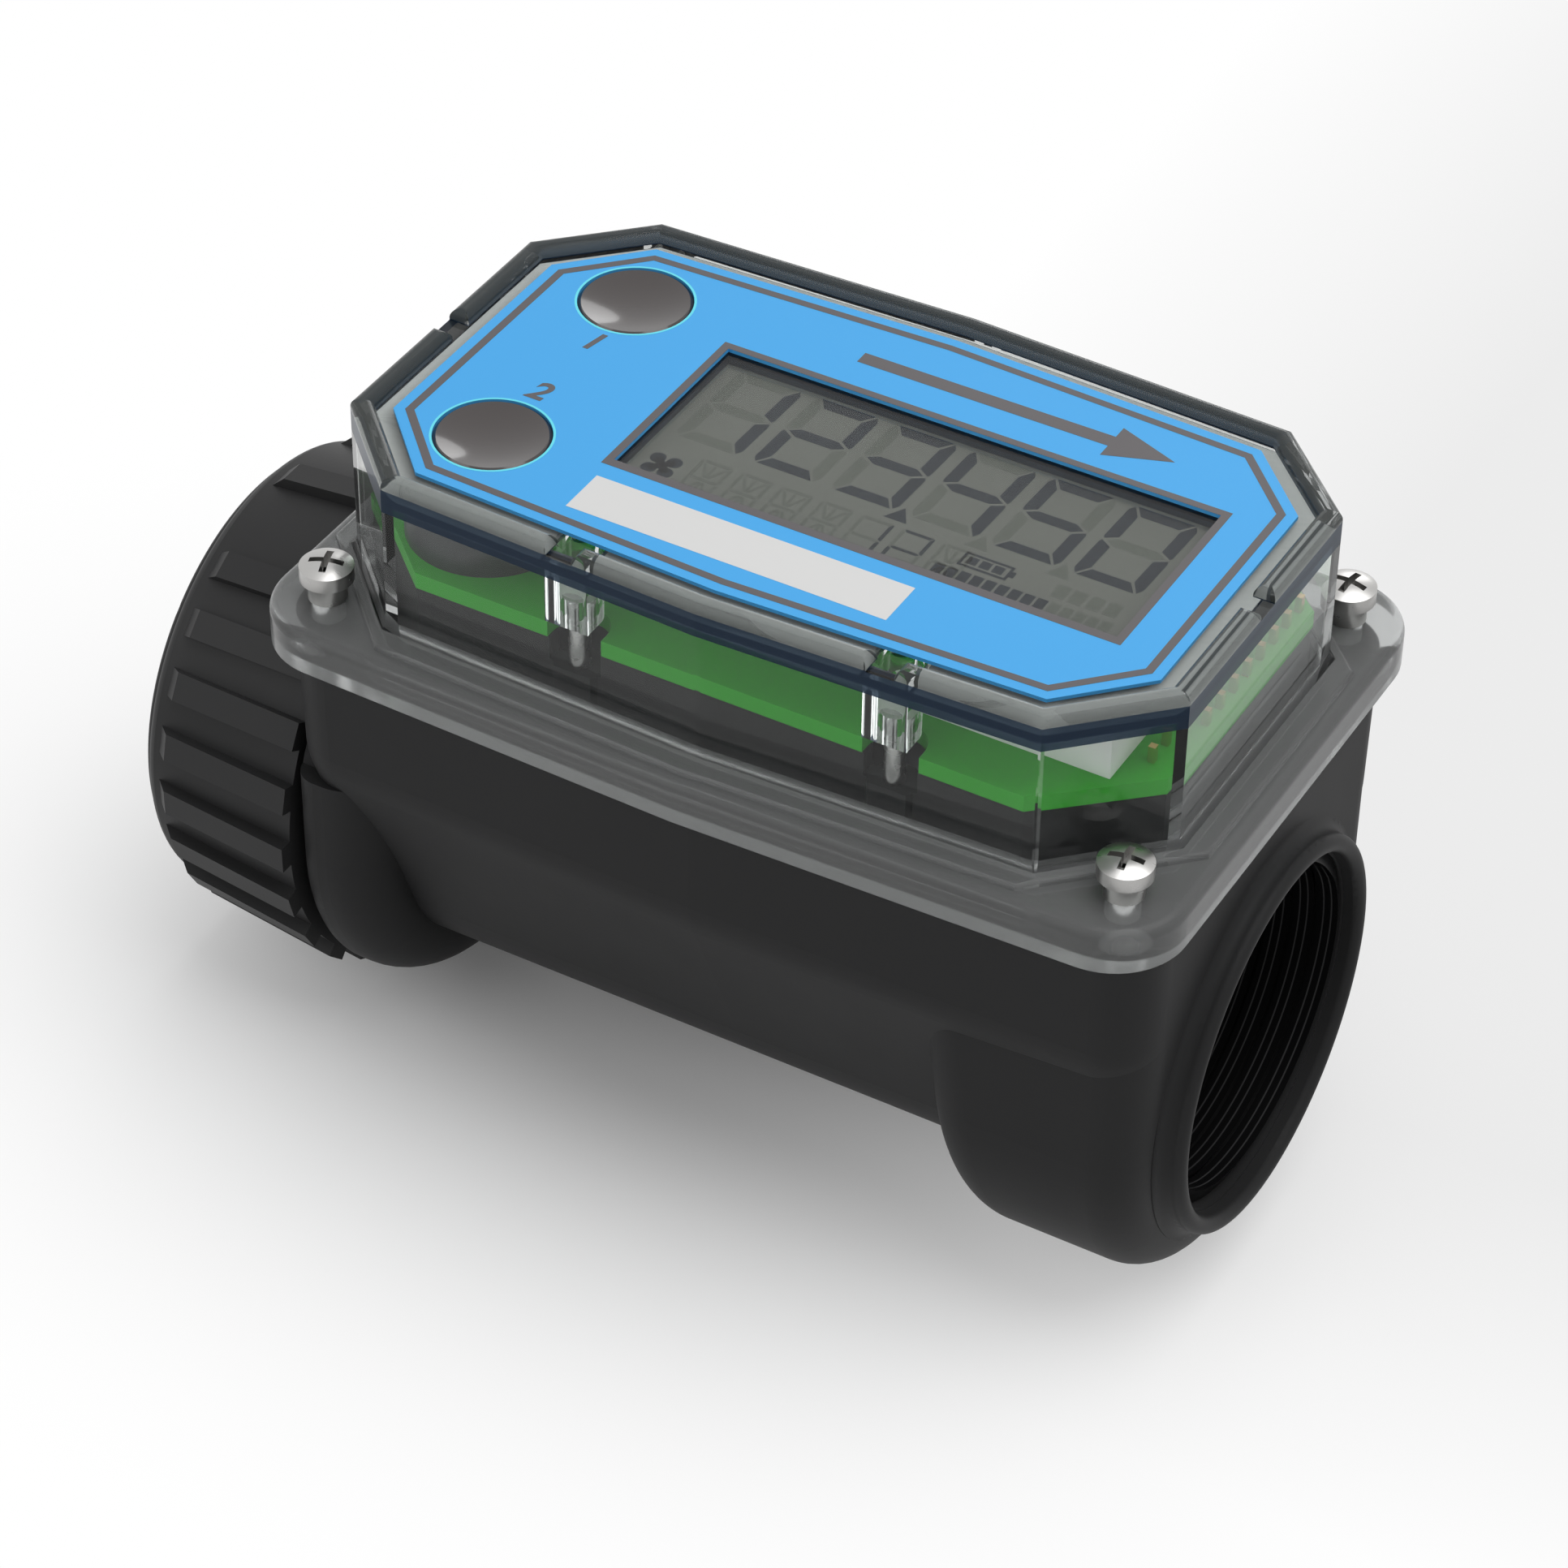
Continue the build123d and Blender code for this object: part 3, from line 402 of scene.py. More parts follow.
def turned_solid(name, profile, segments):
    """A closed solid turned round Z, from (height, radius) points that start and end on the axis."""
    points, faces, rings = [], [], []
    for height, radius in profile:
        start = len(points)
        if radius > 0:
            points += [(x, y, height) for x, y in circle((0, 0), radius, segments)]
        else:
            points.append((0, 0, height))
        rings.append(list(range(start, len(points))))
    for low, high in zip(rings, rings[1:]):
        for k in range(segments):
            n = (k + 1) % segments
            corners = [low[k % len(low)], low[n % len(low)], high[n % len(high)], high[k % len(high)]]
            unique = list(dict.fromkeys(corners))
            if len(unique) > 2:
                faces.append(unique)
    solid = mesh_object(name, points, faces)
    outward(solid)
    return solid


def realised(obj, name, material):
    """Turns an object's evaluated shape into a plain mesh piece at the origin."""
    bpy.context.view_layer.update()
    view = bpy.context.evaluated_depsgraph_get()
    mesh = bpy.data.meshes.new_from_object(obj.evaluated_get(view))
    bpy.data.objects.remove(obj)
    if not mesh.polygons:
        raise RuntimeError(name + " came out empty")
    mesh.name = name
    made = add_object(name, mesh)
    paint(material, made)
    return made


def circle(centre, radius, count=64):
    """Corners of a circle, anticlockwise."""
    turns = [2 * math.pi * k / count for k in range(count)]
    return [(centre[0] + radius * math.cos(t), centre[1] + radius * math.sin(t)) for t in turns]


def rectangle(low, high):
    """Corners of a rectangle, anticlockwise."""
    return [(low[0], low[1]), (high[0], low[1]), (high[0], high[1]), (low[0], high[1])]


class FlatPrint:
    """Collects flat shapes on one plane, each raised by a film's height, as one piece of the housing."""

    def __init__(self, base_z, height):
        self.base_z = base_z
        self.height = height
        self.points = []
        self.faces = []

    def shape(self, corners):
        """Adds a convex shape; the corners run anticlockwise and are measured from the faceplate's centre."""
        start = len(self.points)
        count = len(corners)
        for z in (self.base_z, self.base_z + self.height):
            self.points += [(cover_x + x, y, z) for x, y in corners]
        self.faces.append(list(range(start + count, start + 2 * count)))
        self.faces.append(list(range(start + count - 1, start - 1, -1)))
        for i in range(count):
            j = (i + 1) % count
            self.faces.append([start + i, start + j, start + count + j, start + count + i])

    def ring(self, outer, inner):
        """Adds the band between two outlines of as many corners."""
        count = len(outer)
        for i in range(count):
            j = (i + 1) % count
            self.shape([outer[i], outer[j], inner[j], inner[i]])

    def made(self, name, material):
        """The piece itself."""
        obj = mesh_object(name, self.points, self.faces)
        paint(material, obj)
        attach(obj, "housing")


# Geometry Nodes trees
def node_tree(name, values):
    """A tree with one named input for each value; returns the tree and its inputs by name."""
    kinds = {"float": "Float", "int": "Int", "tuple": "Vector", "Material": "Material"}
    tree = bpy.data.node_groups.new(name, "GeometryNodeTree")
    tree.interface.new_socket("Geometry", in_out="INPUT", socket_type="NodeSocketGeometry")
    for label, value in values.items():
        kind = "NodeSocket" + kinds[type(value).__name__]
        tree.interface.new_socket(label, in_out="INPUT", socket_type=kind).default_value = value
    tree.interface.new_socket("Geometry", in_out="OUTPUT", socket_type="NodeSocketGeometry")
    inputs = tree.nodes.new("NodeGroupInput")
    return tree, {socket.name: Socket(tree, socket) for socket in inputs.outputs}


def close_tree(shape, given):
    """Ends a tree in Realize Instances and Set Material."""
    tree = shape.tree
    real = node(tree, "GeometryNodeRealizeInstances", {}, [shape])
    dressed = node(tree, "GeometryNodeSetMaterial", {}, {"Geometry": real, "Material": given["Material"]})
    feed(tree.nodes.new("NodeGroupOutput"), 0, dressed)


def run_tree(tree, values, name, base=None):
    """Runs a tree on a new object, or on base, with its inputs set by their identifiers."""
    obj = base or mesh_object(name + "_seed", [], [])
    modifier = obj.modifiers.new("shape", "NODES")
    modifier.node_group = tree
    for socket in tree.interface.items_tree:
        if socket.name in values:
            modifier[socket.identifier] = values[socket.name]
    obj.update_tag()
    return realised(obj, name, values["Material"])


# Mouldings and metal parts
class FLOWMETER_OT_mouldings(bpy.types.Operator):
    """Gives the body, the nut and the inner mouldings their finishes"""

    bl_idname = "flowmeter.mouldings"
    bl_label = "Mouldings"

    def execute(self, context):
        colours = context.scene.meter_colours
        nylon = moulded("black_nylon", colours.nylon, 0.48, Specular_IOR_Level=0.07)
        nut = moulded("nut_nylon", colours.nut, 0.5, 0.35, Specular_IOR_Level=0.2)
        glossy = moulded("black_moulding", (0.03, 0.031, 0.034), 0.3, 0.1)
        white = moulded("white_moulding", (0.84, 0.84, 0.83), 0.4, 0.1)
        grey = moulded("support_moulding", (0.08, 0.08, 0.085), 0.45)
        pale = moulded("rotor_moulding", (0.72, 0.73, 0.72), 0.4)
        rubber = moulded("seal_rubber", (0.03, 0.03, 0.032), 0.8, 0.5)
        dress(nylon, "meter_body", "electronics_tray")
        dress(nut, "coupling_nut")
        dress(glossy, "button_housings", "tact_switches", "pickup_bobbin")
        dress(white, "carrier_plate", "lcd_holder")
        dress(grey, "nut_side_support", "port_side_support")
        dress(pale, "rotor")
        dress(rubber, "cover_seal", "coupling_gasket")
        return {"FINISHED"}


class FLOWMETER_OT_metals(bpy.types.Operator):
    """Gives pins, shaft, rings, contacts, cells and winding their finishes"""

    bl_idname = "flowmeter.metals"
    bl_label = "Metal parts"

    def execute(self, context):
        steel = metal("bright_steel", context.scene.meter_colours.steel, 0.26)
        gold = metal("gilt", (0.83, 0.6, 0.26), 0.24)
        copper = metal("copper_winding", (0.75, 0.32, 0.15), 0.35, 5200.0)
        can = metal("cell_can", (0.2, 0.21, 0.23), 0.35)
        ceramic = moulded("ceramic_bush", (0.84, 0.82, 0.76), 0.25, 0.05)
        dress(steel, "locating_pins", "rotor_shaft", "cartridge_clip", "nut_ring")
        dress(steel, "battery_contacts", "pickup_core")
        dress(gold, "header_pins")
        dress(copper, "pickup_coil")
        dress(can, "battery_cells")
        dress(ceramic, "rotor_bushes")
        return {"FINISHED"}


# Cover
class FLOWMETER_OT_cover(bpy.types.Operator):
    """Makes the cover clear, with a smoke tint and a painted reflection of the blue label on the deck's edge
    """

    bl_idname = "flowmeter.cover"
    bl_label = "Clear cover"

    def execute(self, context):
        # Smoke is the cover's tint; navy is a painted reflection of the blue label in the deck's edge
        smoke, painted_reflection_navy = (0.87, 0.89, 0.885), (0.1, 0.17, 0.27)
        constants = {"Transmission_Weight": 1.0, "IOR": 1.45, "Specular_Tint": (0.15, 0.15, 0.15, 1.0)}
        material, shader = finish("clear_polycarbonate", smoke, 0.03, **constants)
        tree = material.node_tree
        coords, (_, _, z) = place(material)

        # Masks of the deck's upright edge, the bead over it and the flange
        edge_low, edge_high = deck_top - 2.2 * MM, deck_top + 0.1 * MM
        flange_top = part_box("clear_cover")[0].z + 4.75 * MM
        lean = split(node(tree, "ShaderNodeNewGeometry", out="Normal"))[2]
        edge = abs(lean).below(0.5) * z.above(edge_low) * z.below(edge_high)
        bead = z.above(edge_high)
        flange = z.below(flange_top)
        least, wander, flange_rough = 0.005, 0.015, 0.16
        # The glass at the deck's edge takes the navy of the painted reflection
        feed(shader, "Base Color", mix(edge, smoke, painted_reflection_navy))
        feed(shader, "Roughness", noise(coords, 160.0) * wander + flange * flange_rough + least)

        # A haze makes the bead and the flange grey; the dark blue it gives the deck's edge is a painted
        # reflection of the blue label
        flange_grey, bead_grey, painted_reflection_blue = (0.33, 0.335, 0.335), (0.09, 0.1, 0.097), (0.007, 0.022, 0.048)
        haze_and_reflection_colours = mix(edge, mix(bead, flange_grey, bead_grey), painted_reflection_blue)
        looks = {"Base Color": haze_and_reflection_colours, "Roughness": 0.3, "Specular IOR Level": 0.12}
        haze_and_painted_reflection = node(tree, "ShaderNodeBsdfPrincipled", {}, looks)
        share = flange * 0.32 + edge * 0.82 + bead * 0.45 + 0.01
        cloudy_with_painted_reflection = node(tree, "ShaderNodeMixShader", {}, [share, Socket(tree, shader.outputs[0]), haze_and_painted_reflection])

        # Light passes through to what lies under the cover
        clear = node(tree, "ShaderNodeBsdfTransparent", {}, {"Color": (0.8, 0.82, 0.82, 1.0)})
        shadow = node(tree, "ShaderNodeLightPath", out="Is Shadow Ray")
        blend = node(tree, "ShaderNodeMixShader", {}, [shadow, cloudy_with_painted_reflection, clear])
        feed(tree.nodes["Material Output"], "Surface", blend)
        dress(material, "clear_cover")
        return {"FINISHED"}


# Faceplate
def outline_corners(inset):
    """Corners of the faceplate's ten-sided outline, moved in by the inset."""
    low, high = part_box("faceplate")
    half_x = (high.x - low.x) / 2
    peak_y = (high.y - low.y) / 2
    bow, cut_x, cut_y = 1.2 * MM, 6.75 * MM, 6.9 * MM
    side_y = peak_y - bow
    cut_normal = math.atan2(cut_x, cut_y)
    bow_normal = math.atan2(half_x - cut_x, peak_y - side_y)
    low_turn = cut_normal / 2
    high_turn = (bow_normal - cut_normal) / 2
    high_way = cut_normal + high_turn
    first = Vector((half_x, side_y - cut_y))
    first -= inset / math.cos(low_turn) * Vector((math.cos(low_turn), math.sin(low_turn)))
    second = Vector((half_x - cut_x, side_y))
    second -= inset / math.cos(high_turn) * Vector((math.cos(high_way), math.sin(high_way)))
    top = Vector((0, peak_y - inset / math.sin(bow_normal)))
    upper = [first, second, top, Vector((-second.x, second.y)), Vector((-first.x, first.y))]
    return upper + [-p for p in upper]


def legend(text, x, y, sizes, material):
    """One slanted button legend as flat raised print."""
    curve = bpy.data.curves.new("legend", "FONT")
    curve.body = text
    curve.size = sizes.legend_size
    curve.shear = 0.2
    curve.offset = 0.09 * MM
    curve.align_x = "CENTER"
    curve.align_y = "CENTER"
    curve.extrude = sizes.ink_rise / 2
    made = realised(add_object("legend", curve), "legend_" + text, material)
    made.data.transform(Matrix.Translation((x, y, label_top + sizes.ink_rise / 2)))
    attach(made, "housing")


class FLOWMETER_OT_faceplate(bpy.types.Operator):
    """Colours the faceplate and prints its band, window frame, strip, arrow and button legends"""

    bl_idname = "flowmeter.faceplate"
    bl_label = "Faceplate"

    def execute(self, context):
        sizes = context.scene.print_sizes
        colours = context.scene.meter_colours
        film = moulded("blue_film", colours.label, 0.42, 0.05, Specular_IOR_Level=0.2)
        ink = moulded("dark_ink", colours.ink, 0.45, 0.05)
        white = moulded("white_strip", colours.strip, 0.5, 0.05)
        pale = moulded("button_rim_painted_highlight", colours.rim, 0.3, 0.05)
        dress(film, "faceplate")

        lines = FlatPrint(label_top, sizes.ink_rise)
        lines.ring(outline_corners(sizes.band_inset), outline_corners(sizes.band_inset + sizes.band_width))
        # Frame round the window, whose edge lies a lip's width inside the bezel
        low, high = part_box("lcd_bezel")
        lip, wide = 1.3 * MM, sizes.frame_width
        x0, x1 = low.x + lip - cover_x, high.x - lip - cover_x
        y0, y1 = low.y + lip, high.y - lip
        outer = rectangle((x0 - wide, y0 - sizes.frame_front), (x1 + wide, y1 + wide))
        lines.ring(outer, rectangle((x0, y0), (x1, y1)))
        # Arrow along the pipe
        arrow_y, half, tail, neck, tip = 14.4 * MM, 0.75 * MM, -6.0 * MM, 18.5 * MM, 24.5 * MM
        lines.shape(rectangle((tail, arrow_y - half), (neck, arrow_y + half)))
        lines.shape([(neck, arrow_y - 3 * half), (tip, arrow_y), (neck, arrow_y + 3 * half)])
        lines.made("printed_lines", ink)

        strip = FlatPrint(label_top, sizes.ink_rise)
        strip.shape(rectangle(sizes.strip_low, sizes.strip_high))
        strip.made("white_strip", white)

        hole_r, legend_y = 5.2 * MM, 4.4 * MM
        # Rings round the button holes stand in for a clear collar, coloured with a painted highlight: the
        # label's bright refraction
        painted_highlight_rims = FlatPrint(label_top, sizes.ink_rise)
        buttons = middle("upper_button"), middle("lower_button")
        for button in buttons:
            centre = (button.x - cover_x, button.y)
            painted_highlight_rims.ring(circle(centre, hole_r + sizes.rim_width), circle(centre, hole_r))
        painted_highlight_rims.made("button_rims_painted_highlight", pale)
        legend("1", buttons[0].x, legend_y, sizes, ink)
        legend("2", buttons[1].x, -legend_y, sizes, ink)
        return {"FINISHED"}


# Display
LIT = {
    "0": "abcdef", "1": "bc", "2": "abged", "3": "abgcd", "4": "fgbc",
    "5": "afgcd", "6": "afgcde", "7": "abc", "8": "abcdefg", "9": "abcdfg", " ": "",
}


def digit_segments(width, height, stroke, gap):
    """The seven segments of a digit by letter, as convex shapes from its low left corner."""
    w, h, s, g = width, height, stroke, gap
    m = h / 2
    upright = [
        (w - s, h - s - g), (w - s, m + s / 2 + g), (w - 0.12 * s, m + g * 0.7),
        (w, m + 0.4 * s), (w, h - 0.6 * s), (w - 0.3 * s, h - 0.1 * s),
    ]
    across = [(0.3 * s + g, h), (s + g, h - s), (w - s - g, h - s), (w - 0.3 * s - g, h)]
    bar = [
        (s * 0.25 + g, m), (s + g, m - s / 2), (w - s - g, m - s / 2),
        (w - s * 0.25 - g, m), (w - s - g, m + s / 2), (s + g, m + s / 2),
    ]
    return {
        "a": across,
        "b": upright,
        "c": [(x, h - y) for x, y in upright],
        "d": [(x, h - y) for x, y in across],
        "e": [(w - x, h - y) for x, y in upright],
        "f": [(w - x, y) for x, y in upright],
        "g": bar,
    }


def anticlockwise(corners):
    """The corners in anticlockwise order."""
    area = sum(a[0] * b[1] - b[0] * a[1] for a, b in zip(corners, corners[1:] + corners[:1]))
    return corners if area > 0 else corners[::-1]


def line_shape(start, end, width):
    """A thin straight bar between two points."""
    a, b = Vector(start), Vector(end)
    side = (b - a).orthogonal().normalized() * width / 2
    return anticlockwise([tuple(a - side), tuple(b - side), tuple(b + side), tuple(a + side)])


class FLOWMETER_OT_display(bpy.types.Operator):
    """Colours the display panel and its frame, and draws its segments"""

    bl_idname = "flowmeter.display"
    bl_label = "Display"

    def execute(self, context):
        sizes = context.scene.display_sizes
        colours = context.scene.meter_colours
        panel = moulded("display_panel", colours.panel, 0.45, 0.0, Specular_IOR_Level=0.05)
        bezel = moulded("display_frame", (0.012, 0.02, 0.034), 0.35, 0.05)
        lit = moulded("segments_lit", colours.segment, 0.45, 0.0, Specular_IOR_Level=0.05)
        unlit = moulded("segments_unlit", colours.ghost, 0.45, 0.0, Specular_IOR_Level=0.05)
        dress(panel, "lcd_panel")
        dress(bezel, "lcd_bezel")
        dark = FlatPrint(lcd_top, sizes.film)
        ghost = FlatPrint(lcd_top, sizes.film)

        def digit(text, left, low, shapes, lean):
            for letter, corners in shapes.items():
                target = dark if letter in LIT[text] else ghost
                target.shape(anticlockwise([(left + x + lean * y, low + y) for x, y in corners]))

        x0, y0 = sizes.first_digit
        large = digit_segments(sizes.digit_width, sizes.digit_height, sizes.stroke, sizes.gap)
        for k, text in enumerate(sizes.reading):
            digit(text, x0 + k * sizes.digit_pitch, y0, large, sizes.slant)

        # Point marks under the digits, of which the first is lit
        tip_x, half, low, high = 6.98 * MM, 1.1 * MM, -3.0 * MM, -1.08 * MM
        for k in range(3):
            x = tip_x + k * sizes.digit_pitch
            target = dark if k == 0 else ghost
            target.shape([(x - half, low), (x + half, low), (x, high)])

        # Lower row of small characters, where a blank shows an unlit star
        wide, tall, stroke = 3.1 * MM, 5.4 * MM, 0.36 * MM
        row_x, row_y, row_pitch = -11.3 * MM, -9.05 * MM, 3.9 * MM
        small = digit_segments(wide, tall, stroke, 0.08 * MM)
        for k, text in enumerate(sizes.small_reading):
            left = row_x + k * row_pitch
            digit(text, left, row_y, small, 0.0)
            if text != " ":
                continue
            x, y = left + wide / 2, row_y + tall / 2
            for up in (1, -1):
                for side in (-1, 0, 1):
                    start = (x + side * wide * 0.06, y + up * tall * 0.07)
                    end = (x + side * wide * 0.33, y + up * tall * 0.4)
                    ghost.shape(line_shape(start, end, stroke * 0.8))

        # Small rotor mark
        hub = Vector((-13.9 * MM, -6.3 * MM))
        for k in range(4):
            turn = math.radians(45 + 90 * k)
            way = Vector((math.cos(turn), math.sin(turn)))
            dark.shape(circle(hub + way * 1.15 * MM, 0.72 * MM, 20))
            dark.shape(line_shape(hub, hub + way * 1.2 * MM, 0.8 * MM))

        # Battery mark with three cells
        low, high = Vector((14.3 * MM, -5.7 * MM)), Vector((18.9 * MM, -3.7 * MM))
        wall = Vector((0.28 * MM, 0.28 * MM))
        dark.ring(rectangle(low, high), rectangle(low + wall, high - wall))
        dark.shape(rectangle((high.x, low.y + 0.6 * MM), (high.x + 0.4 * MM, high.y - 0.6 * MM)))

        # Rows of bars in mm: first left edge, pitch, width, foot and head, then how many are lit of how many
        rows = (
            (low.x / MM + 0.55, 1.22, 0.95, -5.2, -4.2, 3, 3),
            (12.8, 1.2, 0.95, -8.0, -6.3, 9, 14),
            (23.0, 1.6, 1.25, -5.6, -3.8, 0, 4),
        )
        for left, step, width, foot, head, lit_bars, bars in rows:
            for k in range(bars):
                target = dark if k < lit_bars else ghost
                x = left + k * step
                target.shape(rectangle((x * MM, foot * MM), ((x + width) * MM, head * MM)))

        dark.made("segments_lit", lit)
        ghost.made("segments_unlit", unlit)
        return {"FINISHED"}


# Buttons and board
class FLOWMETER_OT_buttons(bpy.types.Operator):
    """Gives the two push buttons a deep gloss"""

    bl_idname = "flowmeter.buttons"
    bl_label = "Buttons"

    def execute(self, context):
        colour = context.scene.meter_colours.cap
        cap = moulded("glossy_cap", colour, 0.14, 0.02, Coat_Weight=0.3, Coat_Roughness=0.05)
        dress(cap, "upper_button", "lower_button")
        return {"FINISHED"}


class FLOWMETER_OT_board(bpy.types.Operator):
    """Colours the circuit board"""

    bl_idname = "flowmeter.board"
    bl_label = "Circuit board"

    def execute(self, context):
        colour = context.scene.meter_colours.board
        dress(moulded("board_lacquer", colour, 0.42, 0.1, Specular_IOR_Level=0.15), "circuit_board")
        return {"FINISHED"}


# Screws
def screw_tree(values):
    """Cuts a cross recess into a screw and sets one at each corner, turned by the seed."""
    tree, given = node_tree("screws_at_corners", values)
    long, narrow, deep = given["Recess Length"], given["Recess Width"], given["Recess Depth"] * 2.0
    top = join(tree, 0.0, 0.0, given["Top"])
    bars = []
    for x, y in ((long, narrow), (narrow, long)):
        bar = node(tree, "GeometryNodeMeshCube", {}, {"Size": join(tree, x, y, deep)})
        bars.append(node(tree, "GeometryNodeTransform", {}, {"Geometry": bar, "Translation": top}))
    solids = {"Mesh 1": given["Geometry"], "Mesh 2": bars}
    screw = node(tree, "GeometryNodeMeshBoolean", {"operation": "DIFFERENCE"}, solids)
    spread = {"Vertices X": 2, "Vertices Y": 2, "Size X": given["Spacing X"], "Size Y": given["Spacing Y"]}
    grid = node(tree, "GeometryNodeMeshGrid", {}, spread)
    corners = node(tree, "GeometryNodeTransform", {}, {"Geometry": grid, "Translation": given["Centre"]})
    turns = {0: (0, 0, 0), 1: (0, 0, math.pi / 2), "Seed": given["Seed"]}
    turn = node(tree, "FunctionNodeRandomValue", {"data_type": "FLOAT_VECTOR"}, turns)
    copies = {"Points": corners, "Instance": screw, "Rotation": turn}
    close_tree(node(tree, "GeometryNodeInstanceOnPoints", {}, copies), given)
    return tree


class FLOWMETER_OT_screws(bpy.types.Operator):
    """Sets four cross-recessed screws where the CAD screws are"""

    bl_idname = "flowmeter.screws"
    bl_label = "Cover screws"

    def execute(self, context):
        sizes = context.scene.screw_sizes
        low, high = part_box("cover_screws")
        base = high.z - sizes.head_len
        shoulder = base - sizes.neck_len
        steps = 12
        profile = [(low.z, 0), (low.z, sizes.shank_r), (shoulder, sizes.shank_r), (shoulder, sizes.neck_r)]
        profile += [(base, sizes.neck_r), (base, sizes.head_r)]
        for k in range(steps, -1, -1):
            profile.append((high.z - sizes.crown * (k / steps) ** 2, sizes.head_r * k / steps))
        cad_head_r = 2.65 * MM
        centre = (low + high) / 2
        values = {
            "Spacing X": high.x - low.x - 2 * cad_head_r,
            "Spacing Y": high.y - low.y - 2 * cad_head_r,
            "Centre": (centre.x, centre.y, 0.0),
            "Recess Length": sizes.slot_len,
            "Recess Width": sizes.slot_width,
            "Recess Depth": sizes.slot_depth,
            "Top": high.z,
            "Seed": 7,
            "Material": metal("screw_steel", context.scene.meter_colours.steel, 0.3),
        }
        one_screw = turned_solid("one_screw", profile, 48)
        screws = run_tree(screw_tree(values), values, "cross_recess_screws", one_screw)
        smooth(screws, 40)
        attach(screws, "housing")
        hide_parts("cover_screws")
        return {"FINISHED"}


# Threads
def thread_tree(values):
    """Winds one helical ridge on the inside of a bore along X."""
    tree, given = node_tree("helical_ridge", values)
    turns = given["Length"] / given["Pitch"]
    steps = turns * given["Steps"]
    line = node(tree, "GeometryNodeMeshLine", {"mode": "OFFSET"}, {"Count": steps + 1.0, "Offset": (0, 0, 0)})
    share = node(tree, "GeometryNodeInputIndex") / steps
    angle = share * turns * (2 * math.pi)
    y, z = angle.math("COSINE"), angle.math("SINE")
    wall, height = given["Root Radius"], given["Ridge Height"]
    helix = join(tree, given["Start"] + share * given["Length"], y * wall, z * wall)
    placed = node(tree, "GeometryNodeSetPosition", {}, {"Geometry": line, "Position": helix})
    curve = node(tree, "GeometryNodeMeshToCurve", {}, [placed])
    inward = join(tree, 0.0, y * -1.0, z * -1.0)
    path = node(tree, "GeometryNodeSetCurveNormal", {"mode": "FREE"}, {"Curve": curve, "Normal": inward})

    # The ridge rises from next to nothing in an eighth of a turn at either end
    per_turn, smallest = 8.0, 0.02
    near_start, near_end = share * turns * per_turn, (1.0 - share) * turns * per_turn
    rise = near_start.least(near_end).least(1.0).most(smallest)

    # Its section has the foot on the bore's wall and the crest towards the axis
    foot, crest = given["Foot Width"], given["Crest Width"]
    widths = {"Height": height, "Bottom Width": foot, "Top Width": crest, "Offset": 0.0}
    section = node(tree, "GeometryNodeCurvePrimitiveQuadrilateral", {"mode": "TRAPEZOID"}, widths)
    quarter, raised = (0, 0, math.pi / 2), join(tree, height * 0.5, 0.0, 0.0)
    stance = {"Geometry": section, "Translation": raised, "Rotation": quarter}
    standing = node(tree, "GeometryNodeTransform", {}, stance)
    sweep = {"Curve": path, "Profile Curve": standing, "Scale": rise, "Fill Caps": True}
    close_tree(node(tree, "GeometryNodeCurveToMesh", {}, sweep), given)
    return tree


def thread_finish(name, start, sizes):
    """Nylon painted darker than the body's, as the shade inside the bore, whose colour is a little paler
    along both edges of the ridge's crest, a painted highlight.
    """
    # Dark is painted shade inside the bore; pale is a painted highlight on the crest's edges
    dark, pale = (0.005, 0.005, 0.0053), (0.05, 0.05, 0.051)
    half_line, reach = 0.07 * MM, 0.15 * MM
    material, shader = finish(name, dark, 0.3, Specular_IOR_Level=0.06)
    coords, (x, y, z) = place(material)
    turn = z.math("ARCTAN2", y) / (2 * math.pi)
    across = ((x - start) / sizes.pitch - turn).math("WRAP", 0.5, -0.5) * sizes.pitch
    # Mask of the painted highlight along both edges of the crest
    edge = abs(abs(across) - sizes.crest_flat / 2).below(half_line)
    near_crest = ((y * y + z * z) ** 0.5).below(sizes.crest_r + reach)
    feed(shader, "Base Color", mix(edge * near_crest, dark, pale))
    feed(shader, "Roughness", noise(coords, 90.0) * 0.1 + 0.25)
    grain(shader, coords, 0.1)
    return material


class FLOWMETER_OT_threads(bpy.types.Operator):
    """Winds the helical threads of the port and the nut"""

    bl_idname = "flowmeter.threads"
    bl_label = "Pipe threads"

    def execute(self, context):
        sizes = context.scene.thread_sizes
        # Each ridge's foot sinks into the wall, and its ends stay clear of the bore's steps
        sink, port_gap, nut_gap, gasket_gap = 0.04 * MM, 0.2 * MM, 1.2 * MM, 1.1 * MM
        ridge = {
            "Pitch": sizes.pitch,
            "Root Radius": sizes.root_r + sink,
            "Ridge Height": sizes.root_r + sink - sizes.crest_r,
            "Foot Width": sizes.pitch - sizes.root_flat,
            "Crest Width": sizes.crest_flat,
            "Steps": sizes.steps,
        }
        port_start = -sizes.port_length - port_gap
        nut_start = nut_outer_x + nut_gap
        runs = (
            ("port_thread_ridge", port_start, sizes.port_length, "housing"),
            ("nut_thread_ridge", nut_start, gasket_x - nut_start - gasket_gap, "nut"),
        )
        for name, start, run, body in runs:
            values = {**ridge, "Start": start, "Length": run, "Material": thread_finish(name, start, sizes)}
            tree = bpy.data.node_groups.get("helical_ridge") or thread_tree(values)
            made = run_tree(tree, values, name)
            outward(made)
            smooth(made, 30)
            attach(made, body)
        return {"FINISHED"}


